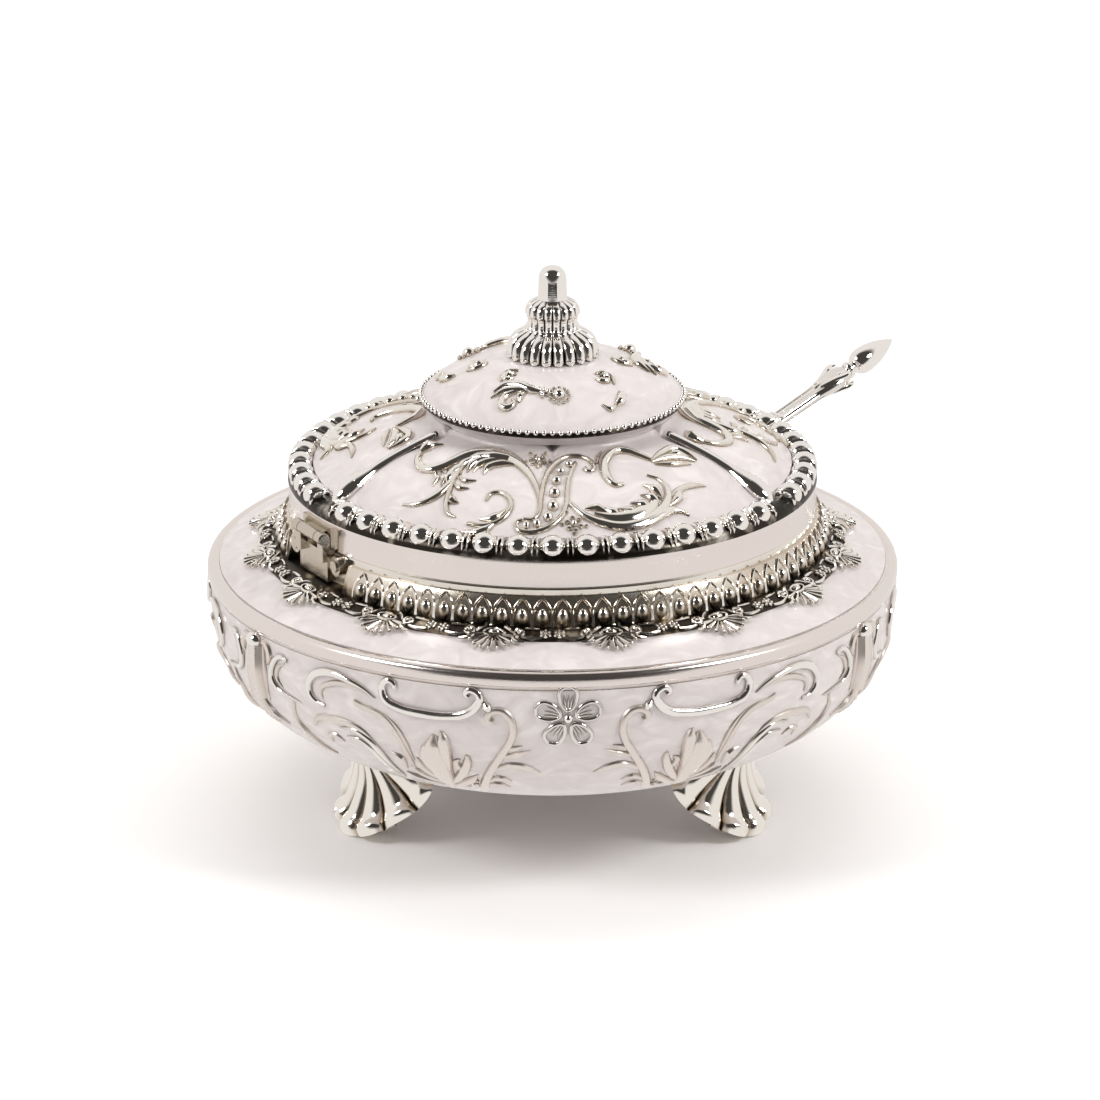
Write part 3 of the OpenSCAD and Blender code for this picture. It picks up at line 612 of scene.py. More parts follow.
pillar = [[widths, *[(x - PANEL_PITCH / 2, y) for x, y in points]]
          for widths, *points in pillar_middle + mirrored(pillar_half)]
side = draw(mirrored(satin_half + acanthus) + pillar, 0.8, 0.1, 2, 4, 1.3)
satin_faces = len(side.faces)
bright_side = draw(mirrored(bright_half) + flower(0, FLOWER_Y, 5, 4.1, 2.5, 2.0, 0.36), 0.95, 0.2, 3, 4, 1.22)
veins = [[(0.1, 0.24, 0.1), *[polar(0, FLOWER_Y, reach, a) for reach in (1.6, 3.4, 4.8)]]
         for k in range(5) for a in (72 * k - 11, 72 * k, 72 * k + 11)]
join(bright_side, draw(veins, 0.8, 0.25, 1, 3))
join(side, bright_side)
ball(side, 0, FLOWER_Y, (0.95, 0.95, 1.0), 0.35)
ball(side, -PANEL_PITCH / 2, 3.0, (2.1, 1.7, 1.7), 0.3, 16)
side.faces.ensure_lookup_table()
for face in side.faces[satin_faces:]:
    face.material_index = 1
SEEDS = 26
rng = random.Random(7)
for sign in (-1, 1):
    for _ in range(SEEDS):
        x, y = rng.uniform(-23.0, -18.8), rng.uniform(-24.5, -19.5)
        ball(side, sign * x, y, (0.36, 0.36, 0.42), 0.1, 6)
mark_recess(side, 0.75)
repeat(side, slide_to, (-PANEL_PITCH, PANEL_PITCH))
bmesh.ops.translate(side, verts=side.verts, vec=(PANEL_TURN, 0, 0))
lay(side, on_bowl)
make_piece("bowl_side_relief", side, "bowl", [satin, polished])

# %% [markdown]
# The egg gallery stands at the foot of the collar: 88 pointed arches, each with a shining egg in its lower
# half. One bay is drawn flat and laid on the gallery's sloping face. Bays at the hinge are left out, because
# the hinge's lower leaf fills that gap. The band behind is an open ring with closed ends.

# %% Egg gallery
GALLERY_FOOT_R = COLLAR_R + 2.4
GALLERY_TOP = RIM_Z - 1.5
GALLERY_FOOT_Z = shoulder_at(GALLERY_FOOT_R)
GALLERY_H = GALLERY_TOP - GALLERY_FOOT_Z
BAYS = 88
HINGE_BEARING = -60.0
HINGE_HALF = math.degrees(11.2 / COLLAR_R)


def on_gallery(p):
    """x runs round the gallery, y climbs its face."""
    share = min(max(p.y / GALLERY_H, 0.0), 1.0)
    radius = GALLERY_FOOT_R - 0.35 - 1.35 * share ** 1.5
    angle = p.x / GALLERY_FOOT_R
    out = Vector((math.sin(angle), -math.cos(angle), 0))
    lean = 0.28 + 0.25 * share
    normal = (out + Vector((0, 0, lean))).normalized()
    return out * radius + Vector((0, 0, GALLERY_FOOT_Z + p.y)) + normal * p.z


bay_w = math.tau * GALLERY_FOOT_R / BAYS
arch_x = (-0.46, -0.47, -0.32, 0.0)
arch_y = (0.06, 0.42, 0.72, 0.97)
arch = [[(0.3, 0.3, 0.18), *[(bay_w * x, GALLERY_H * y) for x, y in zip(arch_x, arch_y)]]]
bay = draw(mirrored(arch), 1.0, 0.2, 1, 3)
mark_recess(bay, 0.45)
egg = ball(bay, 0, 0.35 * GALLERY_H, (1.22, 0.31 * GALLERY_H, 1.15), 0.1, 14)
bay_recess = bay.verts.layers.float["recess"]
# Painted shade: each egg's lower half is marked as a recess, so it goes dark underneath.
for vert in egg:
    vert[bay_recess] = min(max((0.46 - vert.co.y / GALLERY_H) / 0.14, 0.0), 1.5)
gallery = bmesh.new()
gallery.verts.layers.float.new("recess")
bays = [k + 0.5 for k in range(BAYS) if apart((k + 0.5) * 360 / BAYS, HINGE_BEARING) >= HINGE_HALF + 1.2]
add_copies(gallery, bay, slide_to, [bay_w * k for k in bays])
lay(gallery, on_gallery)

band_section = [(COLLAR_R, shoulder_at(COLLAR_R)), (GALLERY_FOOT_R, GALLERY_FOOT_Z),
                *arc((GALLERY_FOOT_R, GALLERY_FOOT_Z + 0.5), (COLLAR_R + 1.6, GALLERY_TOP - 1.6),
                     (COLLAR_R + 0.5, GALLERY_TOP), 6), (COLLAR_R, GALLERY_TOP)]
band = bmesh.new()
band.verts.layers.float.new("recess")
ring = [band.verts.new((r, 0, z)) for r, z in band_section]
edges = [band.edges.new(pair) for pair in zip(ring, ring[1:] + ring[:1])]
bmesh.ops.rotate(band, verts=ring, cent=(0, 0, 0),
                 matrix=Matrix.Rotation(math.radians(HINGE_BEARING - 90 + HINGE_HALF), 3, "Z"))
bmesh.ops.spin(band, geom=ring + edges, cent=(0, 0, 0), axis=(0, 0, 1),
               angle=math.radians(360 - 2 * HINGE_HALF), steps=180)
bmesh.ops.holes_fill(band, edges=[e for e in band.edges if e.is_boundary], sides=40)
# Painted shade: the band behind the arches is darkest at its foot and lightens upwards.
set_recess(band, lambda co: 1.5 - min(max((co.z - GALLERY_FOOT_Z) / GALLERY_H * 2.0 - 0.5, 0.0), 1.0))
join(gallery, band)
make_piece("egg_gallery_cast", gallery, "bowl", [toned_and_shaded], ["egg_gallery"])

# %% [markdown]
# The lace border lies flat on the shoulder outside the gallery. Sixteen scallop shells fan outwards, and
# between each two of them sits a pair of rosettes tied by little bars. One shell and half of each link make
# the repeat. Rays widen towards a dotted tip, as they do on a real scallop.

# %% Lace border
SHELLS = 16
LACE_IN = GALLERY_FOOT_R


def rosette(x, y):
    return [[(0.3, 0.3, 0.3), *[polar(x, y, 0.95, 45 * i) for i in range(9)]]]


def shell_motif(eye_y, rays, first, spread, long, short):
    strokes = []
    for i in range(rays):
        a = -spread + 2 * spread * i / (rays - 1)
        tip = long + (short - long) * (abs(a) / spread) ** 2
        strokes.append([(0.12, 0.3, 0.42), polar(0, eye_y, first, a), polar(0, eye_y, (first + tip) / 2, a),
                        polar(0, eye_y, tip, a)])
    return strokes


half_link = [
    [(0.3, 0.32, 0.3), (1.9, 0.35), (3.0, 1.2), (3.6, 2.2)],
    [(0.22, 0.3, 0.22), (5.9, 0.7), (7.6, 0.75), (9.0, 0.9)],
    [(0.25, 0.36, 0.25), (5.6, 3.2), (7.4, 3.7), (9.4, 3.4)],
    [(0.3, 0.4, 0.2), (3.7, 3.2), (4.7, 4.4), (6.2, 4.7)],
    [(0.25, 0.3, 0.25), (0, 1.1), (1.3, 1.4), (2.1, 2.2), (1.2, 2.9), (0, 3.1)],
]
SHELL_RAYS, SHELL_SPREAD, SHELL_EYE = 9, 78, 2.4
lace = draw(mirrored(half_link) + rosette(4.9, 2.0) + rosette(-4.9, 2.0)
            + shell_motif(SHELL_EYE, SHELL_RAYS, 1.3, SHELL_SPREAD, 4.6, 4.2), 0.9, 0.75, 1, 2)
for i in range(SHELL_RAYS):
    x, y = polar(0, SHELL_EYE, 4.75, SHELL_SPREAD * (2 * i / (SHELL_RAYS - 1) - 1))
    ball(lace, x, y, (0.4, 0.4, 0.4), 0.8, 6)
ball(lace, 0, 2.1, (1.15, 0.55, 0.5), 0.8, 10)
for sign in (-1, 1):
    ball(lace, sign * 4.9, 2.0, (0.45, 0.45, 0.45), 0.8, 6)
    ball(lace, sign * 10.1, 2.3, (0.45, 0.45, 0.5), 0.85, 6)
    balls_round(lace, sign * 10.1, 2.3, 0.85, 6, (0.42, 0.42, 0.36), 0.8)
mark_recess(lace, 1.0)
bmesh.ops.translate(lace, verts=lace.verts, vec=(0, LACE_IN, 0))
for vert in lace.verts:
    angle = vert.co.x / (LACE_IN + 2.4)
    reach = vert.co.y
    vert.co.x, vert.co.y = reach * math.sin(angle), reach * math.cos(angle)
lay(lace, on_shoulder)
repeat(lace, turn_to, [360 * k / SHELLS for k in range(1, SHELLS)])
turn_to(lace, lace.verts, 180 / SHELLS)
LACE_OUT = LACE_IN + 3.7
base = turned([(COLLAR_R + 0.2, shoulder_at(COLLAR_R) - 0.4), (LACE_OUT, shoulder_at(LACE_OUT) - 0.2),
               (LACE_OUT, shoulder_at(LACE_OUT) + 0.35), (LACE_OUT - 0.3, shoulder_at(LACE_OUT - 0.3) + 0.55),
               (LACE_IN, shoulder_at(LACE_IN) + 0.6), (COLLAR_R + 0.2, shoulder_at(COLLAR_R) + 0.3)], 256)
# Painted shade: the whole base ring under the lace and under the hinge is set to full recess, so the gaps show
# black.
set_recess(base, lambda co: 1.5)
join(lace, base)
make_piece("lace_border_cast", lace, "bowl", [toned_and_shaded], ["lace_border"])

# %% [markdown]
# Each foot is a palmette: flutes fan out and down from an ear under the bowl, and roll into a thick lip on
# the table. It could be cut from a block, but the flutes are the whole character, so a flat grid is bent
# instead. One direction of the grid is the angle of the fan and the other runs from the ear to the lip. The
# grid is pressed into grooves between ribs, and solidify gives it the thickness of a casting.

# %% Feet
FOOT_R = 40.2
EAR_R = FOOT_R + 7.6
EAR_Z = 21.5
EAR_REACH = 2.2
FOOT_RIBS = 9
FAN_HALF = 82


def fan_base(share, along):
    """The smooth wall: share runs -1 to 1 across the fan, along runs from the ear at 0 to the lip at 1."""
    a = math.radians(FAN_HALF) * share
    reach = EAR_Z - 5.0 * abs(share) ** 1.6 - 1.0 * abs(share) ** 6
    run = EAR_REACH + (reach - EAR_REACH) * along
    y = 0.95 * run * math.sin(a)
    z = EAR_Z - run * math.cos(a)
    lower = max(0.0, min(1.0, z / EAR_Z))
    waist = math.sin(math.pi * min(1.0, (1 - lower) * 1.15)) ** 0.8 * lower ** 0.15
    return Vector((EAR_R - 3.4 * waist - 0.036 * y * y, y, z))


def fan_point(share, along):
    """The wall with its ribs, which stand out along the wall's own normal and end in round toes."""
    base = fan_base(share, along)
    normal = (fan_base(share + 0.01, along) - base).cross(fan_base(share, along - 0.01) - base).normalized()
    normal *= math.copysign(1.0, normal.x)
    across = ((share + 1) * FOOT_RIBS / 2) % 1 * 2 - 1
    ridge = math.sqrt(max(0.0, 1 - across * across))
    toe = math.exp(-((along - 0.92) / 0.075) ** 2)
    place = base + normal * (1.5 * min(1.0, along * 1.6) * (ridge - 0.75) + toe * (0.4 + 0.8 * ridge))
    place.z = max(place.z, 0.0)
    return place, ridge


def foot_mesh():
    bm = bmesh.new()
    bmesh.ops.create_grid(bm, x_segments=126, y_segments=34, size=0.5)
    layer = bm.verts.layers.float.new("recess")
    for vert in bm.verts:
        place, ridge = fan_point(vert.co.x * 2, vert.co.y + 0.5)
        vert.co = place
        # Painted shade and tarnish: the grooves between the ribs are marked as recess, so they go dark.
        vert[layer] = max(0.0, 1.5 - 1.9 * ridge)
    bmesh.ops.recalc_face_normals(bm, faces=bm.faces)
    if sum(f.normal.x for f in bm.faces) < 0:
        bmesh.ops.reverse_faces(bm, faces=bm.faces)
    bmesh.ops.solidify(bm, geom=list(bm.faces), thickness=2.1)
    for at, radii in (((EAR_R, 0, EAR_Z - 1.2), (1.7, 2.2, 2.6)),
                      ((EAR_R - 0.6, 2.6, EAR_Z - 0.6), (1.4, 1.5, 1.8)),
                      ((EAR_R - 0.6, -2.6, EAR_Z - 0.6), (1.4, 1.5, 1.8))):
        place = Matrix.Translation(at) @ Matrix.Diagonal((*radii, 1))
        bmesh.ops.create_uvsphere(bm, u_segments=20, v_segments=12, radius=1.0, matrix=place)
    bmesh.ops.rotate(bm, verts=bm.verts, cent=(0, 0, 0), matrix=Matrix.Rotation(math.radians(-90), 3, "Z"))
    return bm


for node, bearing in (("foot_front_left", -60), ("foot_front_right", 60), ("foot_back", 180)):
    foot = foot_mesh()
    turn_to(foot, foot.verts, bearing)
    for vert in foot.verts:
        vert.co.z = max(vert.co.z, 0.0)
    make_piece(node + "_palmette", foot, "bowl", [toned_and_shaded], [node])

# %% [markdown]
# ## The lid
# The lid's band is plain polished metal that closes down on the collar. It has one notch, where the spoon's
# handle leaves. A Boolean modifier cuts it, because the cut is exactly what the founder files away.

# %% Lid band
SPOON_BEARING = 128.0
LEDGE_IN = 45.6
LEDGE = 1.2
lid_band = turned([(COLLAR_IN, RIM_Z), (COLLAR_R - 0.25, RIM_Z), (COLLAR_R, RIM_Z + 0.25),
                   (COLLAR_R, BAND_TOP - 1.3), (COLLAR_R + 0.12, BAND_TOP - 0.9), (COLLAR_R, BAND_TOP),
                   (LEDGE_IN, BAND_TOP), (LEDGE_IN, BAND_TOP - LEDGE), (COLLAR_IN, BAND_TOP - LEDGE)], 240)
band_piece = make_piece("lid_band_polished", lid_band, "lid", [brushed], ["lid_band"])
notch = bmesh.new()
bmesh.ops.create_cube(notch, size=1.0)
NOTCH_W, NOTCH_H = 7.0, 8.0
bmesh.ops.scale(notch, vec=(NOTCH_W, NOTCH_H, NOTCH_H), verts=notch.verts)
bmesh.ops.translate(notch, verts=notch.verts, vec=(0, -COLLAR_R, BAND_TOP - 1.3 - NOTCH_H / 2))
turn_to(notch, notch.verts, SPOON_BEARING)
bmesh.ops.scale(notch, vec=(MM, MM, MM), verts=notch.verts)
cutter_mesh = bpy.data.meshes.new("notch")
notch.to_mesh(cutter_mesh)
notch.free()
cutter = bpy.data.objects.new("notch", cutter_mesh)
bpy.context.collection.objects.link(cutter)
cut = band_piece.modifiers.new("spoon notch", "BOOLEAN")
cut.operation, cut.solver, cut.object = "DIFFERENCE", "EXACT", cutter
bpy.context.view_layer.update()
graph = bpy.context.evaluated_depsgraph_get()
cut_mesh = bpy.data.meshes.new_from_object(band_piece.evaluated_get(graph))
band_piece.modifiers.clear()
band_piece.data = cut_mesh
bpy.data.objects.remove(cutter)
print("lid band cut:", len(cut_mesh.polygons), "faces")

# %% [markdown]
# The dome is enamelled. Near the neck it is softly lobed: six shallow valleys run down from the crown's skirt
# and fade out. The section is turned first, and the valleys are pressed in afterwards by moving points.

# %% Dome
BEAD_IN = BEAD_OUT - 5.2
NECK_R = 24.5
FILLET_R = 28.1
VALLEY_RUN = 13


def from_valley(co):
    """Degrees from the nearest of the six valleys."""
    return (bearing_of(co) + 30) % 60 - 30


def wall_section(height_at, first_r, last_r, steps, drop=0.0):
    """Points of a domed wall's section, with an equal step in radius."""
    radii = [first_r + (last_r - first_r) * i / steps for i in range(steps + 1)]
    return [(r, height_at(r) - drop) for r in radii]


dome_section = ([(0, NECK_Z), (NECK_R, NECK_Z)]
                + arc((NECK_R, NECK_Z - 0.2), (NECK_R + 0.3, dome_at(FILLET_R) + 0.4),
                      (FILLET_R, dome_at(FILLET_R)), 6)
                + wall_section(dome_at, FILLET_R + 0.3, BEAD_IN, 30)
                + [(BEAD_IN, BAND_TOP), (BEAD_IN - THIN_WALL, BAND_TOP)]
                + wall_section(dome_at, BEAD_IN - THIN_WALL, NECK_R - THIN_WALL, 20, THIN_WALL)
                + [(NECK_R - 3, NECK_Z - THIN_WALL), (0, NECK_Z - THIN_WALL)])
dome = turned(dome_section, 288, closed=False)
for vert in dome.verts:
    r = math.hypot(vert.co.x, vert.co.y)
    if NECK_R - 0.1 < r < NECK_R + VALLEY_RUN + 0.5 and vert.co.z > dome_at(r) - 0.8:
        fade = max(0.0, 1 - (r - NECK_R) / VALLEY_RUN)
        valley = math.exp(-(from_valley(vert.co) / (2.2 + 0.3 * (r - NECK_R))) ** 2)
        vert.co.z -= 1.3 * fade ** 1.5 * valley
make_piece("lid_dome_enamelled", dome, "lid", [enamel], ["lid_dome"])

# %% [markdown]
# The beaded rim has 48 places. Three are taken by the ends of the ribs, and every other place holds a large
# bright bead. Between two beads stand two thin cuffs, like turned rings, so the row reads as bead and reel.

# %% Bead ring
PLACES = 48
RIBS = (-60, 60, 180)
BEAD_MID_R = (BEAD_IN + BEAD_OUT) / 2
ring_top = BAND_TOP + 2.6
ring_section = ([(BEAD_IN, BAND_TOP), (BEAD_OUT, BAND_TOP)]
                + arc((BEAD_OUT, BAND_TOP + 0.5), (BEAD_OUT - 0.6, ring_top - 0.2), (BEAD_MID_R, ring_top), 6)
                + arc((BEAD_MID_R - 0.4, ring_top), (BEAD_IN + 0.4, ring_top), (BEAD_IN, ring_top - 0.7), 4))
beads = turned(ring_section, 240)
# Painted shade: the ring under the beads is set to full recess, so the gaps between beads show black.
set_recess(beads, lambda co: 1.4)
pitch = math.tau * BEAD_MID_R / PLACES
bead = bmesh.new()
bead.verts.layers.float.new("recess")
CUFF_X = pitch / 2 - 0.36
for at, radii, segments in (((0, -BEAD_MID_R + 0.05, BAND_TOP + 2.0), (2.6, 2.65, 2.45), (24, 16)),
                            ((-CUFF_X, -BEAD_MID_R, BAND_TOP + 1.85), (0.34, 2.55, 2.3), (20, 12)),
                            ((CUFF_X, -BEAD_MID_R, BAND_TOP + 1.85), (0.34, 2.55, 2.3), (20, 12))):
    bmesh.ops.create_uvsphere(bead, u_segments=segments[0], v_segments=segments[1], radius=1.0,
                              matrix=Matrix.Translation(at) @ Matrix.Diagonal((*radii, 1)))
bearings = [360 * k / PLACES for k in range(PLACES)]
add_copies(beads, bead, turn_to, [b for b in bearings if min(apart(b, rib) for rib in RIBS) >= 3])
make_piece("lid_bead_ring_polished", beads, "lid", [polished], ["lid_bead_ring"])
print("bead pitch", round(pitch, 2), "mm")

# %% [markdown]
# Three polished ribs run down the dome over the feet and end in a long drop that takes the place of a bead.
# Between them the lid carries one relief panel three times: an S cartouche with two rims and a row of balls,
# a big acanthus scroll on its left, and on its right a C scroll over a leafy arc. It is seen from above, in
# millimetres from the axis, with the front at positive y.

# %% The panel on the lid
cartouche = [
    [(0.3, 0.42, 0.35), (-5.6, 44.4), (-4.0, 44.6), (-2.7, 43.2), (-2.3, 40.4), (-2.0, 37.2), (-1.4, 33.8),
     (-0.3, 30.6), (1.8, 27.6), (4.4, 26.5), (6.6, 27.2), (8.0, 29.2), (7.9, 31.0), (6.9, 31.4), (6.3, 30.5)],
    [(0.35, 0.42, 0.3), (4.5, 28.9), (3.4, 32.8), (2.9, 37.2), (2.7, 41.0), (1.7, 44.0), (-0.3, 46.0),
     (-2.7, 47.0), (-5.2, 47.1), (-6.9, 46.3), (-7.0, 45.0), (-5.9, 44.6)],
]
cartouche_balls = [(3.2, 29.6, 0.75), (1.6, 32.0, 0.85), (0.8, 34.9, 1.0), (0.4, 38.3, 1.15),
                   (0.1, 41.7, 1.15), (-0.9, 44.2, 1.0), (-3.0, 45.6, 0.85), (-5.1, 45.8, 0.75)]
acanthus_scroll = [
    [(0.2, 0.95, 0.4), (-2.6, 40.6), (-2.9, 37.7), (-4.0, 33.9), (-5.9, 30.2), (-8.4, 27.3), (-11.2, 25.1),
     (-14.2, 24.1), (-17.2, 24.6), (-19.8, 26.0), (-22.2, 27.0), (-24.3, 26.7), (-26.1, 24.8), (-26.7, 22.0),
     (-26.0, 19.4)],
    [(0.5, 1.15, 0.15), (-26.2, 19.6), (-24.4, 18.0), (-21.6, 18.3)],
    [(0.2, 0.55, 0.2), (-4.6, 30.9), (-7.0, 27.0), (-10.2, 24.1), (-13.6, 22.8), (-17.0, 23.2),
     (-20.0, 25.0)],
    [(0.2, 0.8, 0.1), (-7.0, 29.4), (-9.8, 28.6), (-12.6, 29.4), (-13.6, 31.4)],
    [(0.2, 0.8, 0.1), (-8.8, 27.9), (-11.6, 27.3), (-14.4, 28.2), (-15.6, 30.2)],
    [(0.2, 0.75, 0.1), (-11.2, 26.4), (-13.8, 26.4), (-16.0, 27.8), (-16.8, 30.0)],
    [(0.2, 0.7, 0.1), (-14.0, 25.6), (-16.4, 26.2), (-18.2, 28.0), (-18.0, 30.4)],
    [(0.2, 1.2, 0.2), (-6.0, 29.4), (-8.6, 27.2), (-11.6, 26.2), (-14.6, 25.6), (-17.6, 26.0)],
    [(0.2, 0.8, 0.1), (-16.2, 26.6), (-18.8, 28.4), (-20.4, 30.8), (-20.6, 32.6)],
    [(0.15, 0.5, 0.15), (-18.4, 31.2), (-17.0, 32.6), (-15.0, 33.0)],
    [(0.15, 0.5, 0.15), (-19.4, 32.8), (-18.2, 34.4), (-16.4, 35.0)],
    [(0.3, 0.6, 0.15), (-17.4, 27.4), (-19.0, 30.4), (-20.6, 33.2), (-23.0, 35.4), (-26.6, 35.8),
     (-29.4, 34.6)],
    [(0.2, 0.45, 0.15), (-19.0, 30.8), (-20.2, 34.8), (-20.8, 38.0), (-20.4, 40.2), (-18.9, 41.6)],
    [(0.2, 0.7, 0.15), (-20.0, 35.6), (-19.6, 37.4), (-18.4, 38.4)],
    [(0.3, 0.42, 0.3), (-12.9, 39.0), (-12.2, 37.5), (-10.7, 37.2), (-9.0, 38.3), (-8.1, 40.4), (-8.8, 42.9),
     (-10.8, 44.4), (-13.6, 44.6), (-16.6, 43.6)],
    [(0.15, 0.7, 0.15), (-9.2, 42.0), (-11.4, 43.4), (-14.2, 43.2)],
    [(0.15, 0.7, 0.15), (-10.6, 44.2), (-13.8, 45.8), (-17.6, 45.0)],
    [(0.2, 0.5, 0.1), (-23.0, 28.2), (-22.8, 30.2), (-23.6, 32.0)],
    [(0.2, 0.5, 0.1), (-21.8, 28.4), (-21.4, 30.6), (-21.9, 32.6)],
    [(0.2, 0.5, 0.1), (-20.6, 28.2), (-20.2, 30.0), (-20.5, 31.6)],
]
c_scroll = [
    [(0.25, 0.85, 0.4), (13.9, 34.3), (12.3, 34.9), (10.9, 33.2), (10.1, 29.8), (10.6, 26.0), (12.4, 23.6),
     (14.6, 23.2), (16.8, 24.0), (19.2, 25.0)],
    [(0.2, 0.4, 0.2), (8.7, 28.6), (8.9, 26.6), (9.6, 24.4)],
    [(0.2, 0.75, 0.15), (19.4, 25.2), (21.6, 21.6), (23.9, 19.2), (26.2, 19.4), (28.6, 21.2)],
    [(0.2, 0.75, 0.15), (19.6, 25.6), (22.6, 23.2), (25.4, 22.0), (28.2, 21.8)],
    [(0.2, 0.55, 0.15), (20.2, 26.2), (23.8, 25.0), (27.4, 23.2)],
    [(0.2, 0.8, 0.1), (22.4, 22.2), (24.6, 21.0), (27.0, 20.6)],
]
leafy_arc = [
    [(0.3, 1.1, 0.3), (20.4, 36.2), (19.6, 38.8), (17.6, 41.0), (14.6, 42.8), (11.4, 43.4), (8.2, 42.8)],
    [(0.2, 0.8, 0.4), (18.6, 30.4), (21.1, 31.2), (22.5, 33.6), (22.4, 36.8), (20.9, 39.8), (18.7, 42.2),
     (16.0, 44.0), (12.9, 45.0), (10.0, 44.9), (7.4, 44.2), (5.4, 43.0), (3.6, 41.0)],
    [(0.15, 0.85, 0.15), (17.8, 33.6), (20.0, 34.4), (21.6, 36.8)],
    [(0.15, 0.85, 0.15), (17.2, 36.6), (19.4, 36.8), (21.2, 39.0)],
    [(0.15, 0.9, 0.15), (15.2, 39.2), (17.6, 39.2), (19.8, 40.8)],
    [(0.15, 0.9, 0.15), (12.6, 41.2), (15.2, 41.4), (17.4, 43.0)],
    [(0.15, 0.85, 0.15), (9.4, 41.6), (11.8, 42.2), (14.0, 44.2)],
    [(0.15, 0.7, 0.15), (6.4, 42.0), (8.8, 41.6), (11.2, 42.8)],
    [(0.15, 0.8, 0.15), (24.8, 31.8), (24.6, 34.8), (22.6, 38.0)],
    [(0.2, 0.75, 0.2), (11.0, 45.6), (15.4, 44.6), (18.8, 42.6), (21.8, 39.8), (24.4, 38.2), (26.8, 38.4)],
    [(0.2, 0.55, 0.1), (22.8, 36.0), (24.6, 33.0), (27.4, 30.4), (30.2, 29.0)],
]
rib = [[(1.1, 1.0, 2.5), (0, 26.6), (0, 34.0), (0, 41.0), (0, 45.2)]]


def spray(bm, x, y):
    """A tiny bunch: a middle bead, six round it and five beyond."""
    ball(bm, x, y, (0.7, 0.7, 0.8), 0.35, 8)
    balls_round(bm, x, y, 1.35, 6, (0.55, 0.55, 0.6), 0.25, 15)
    balls_round(bm, x, y - 0.6, 2.5, 5, (0.42, 0.42, 0.45), 0.2)


lid_relief = draw(cartouche + acanthus_scroll + c_scroll + leafy_arc, 1.0, 0.15, 3, 4, 1.3)
for x, y, size in cartouche_balls:
    ball(lid_relief, x, y, (size, size, size), 0.35, 14)
spray(lid_relief, -2.9, 28.4)
spray(lid_relief, 4.2, 45.6)
mark_recess(lid_relief, 0.85)
lay(lid_relief, on_lid)
repeat(lid_relief, turn_to, (-120, 120))
make_piece("lid_dome_relief", lid_relief, "lid", [toned_and_shaded])

ribs = draw(rib, 0.75, 0.2, 4, 8)
ball(ribs, 0, 46.6, (2.5, 3.6, 1.9), 0.3, 24)
mark_recess(ribs, 0.5)
lay(ribs, on_lid)
turn_to(ribs, ribs.verts, 60)
repeat(ribs, turn_to, (-120, 120))
make_piece("lid_ribs_polished", ribs, "lid", [polished])

# %% [markdown]
# The crown plate is a low enamelled cap on the lid's neck, edged with about a hundred tiny beads. Its skirt
# is lobed like the dome below it. Three leaf sprigs lie on it, each ending in a flower inside a ring of dots,
# with small comma buds between them.

# %% Crown plate
EDGE_Z = crown_at(CROWN_R)
SKIRT_R = 24.2
skirt_in = SKIRT_R - THIN_WALL
crown = turned([(0, SEAT_Z)] + wall_section(crown_at, BELL_R, CROWN_R, 24)
               + arc((CROWN_R, EDGE_Z - 0.9), (SKIRT_R - 0.2, EDGE_Z - 1.3), (SKIRT_R, NECK_Z), 8)
               + [(skirt_in, NECK_Z)] + wall_section(crown_at, skirt_in - 0.2, BELL_R, 16, THIN_WALL)
               + [(0, SEAT_Z - THIN_WALL)], 288, closed=False)
for vert in crown.verts:
    r = math.hypot(vert.co.x, vert.co.y)
    if vert.co.z < EDGE_Z - 0.8 and r > SKIRT_R - THIN_WALL / 2:
        press = 0.5 * math.exp(-(from_valley(vert.co) / 4.0) ** 2)
        vert.co.x *= 1 - press / r
        vert.co.y *= 1 - press / r
make_piece("crown_plate_enamelled", crown, "lid", [enamel], ["crown_plate"])

EDGE_BEADS = 100
crown_beads = turned([(CROWN_R - 0.75, EDGE_Z - 0.6), (CROWN_R + 0.05, EDGE_Z - 1.0),
                      (CROWN_R + 0.4, EDGE_Z - 0.5), (CROWN_R + 0.3, EDGE_Z - 0.1),
                      (CROWN_R - 0.6, EDGE_Z + 0.35)], 200)
# Painted shade: the ring behind the edge beads is set to full recess, so the gaps between them show black.
set_recess(crown_beads, lambda co: 1.5)
bead = bmesh.new()
bead.verts.layers.float.new("recess")
bmesh.ops.create_uvsphere(bead, u_segments=10, v_segments=7, radius=0.6,
                          matrix=Matrix.Translation((0, -CROWN_R - 0.05, EDGE_Z + 0.15)))
add_copies(crown_beads, bead, turn_to, [360 * k / EDGE_BEADS for k in range(EDGE_BEADS)])
make_piece("crown_edge_beads", crown_beads, "lid", [polished])

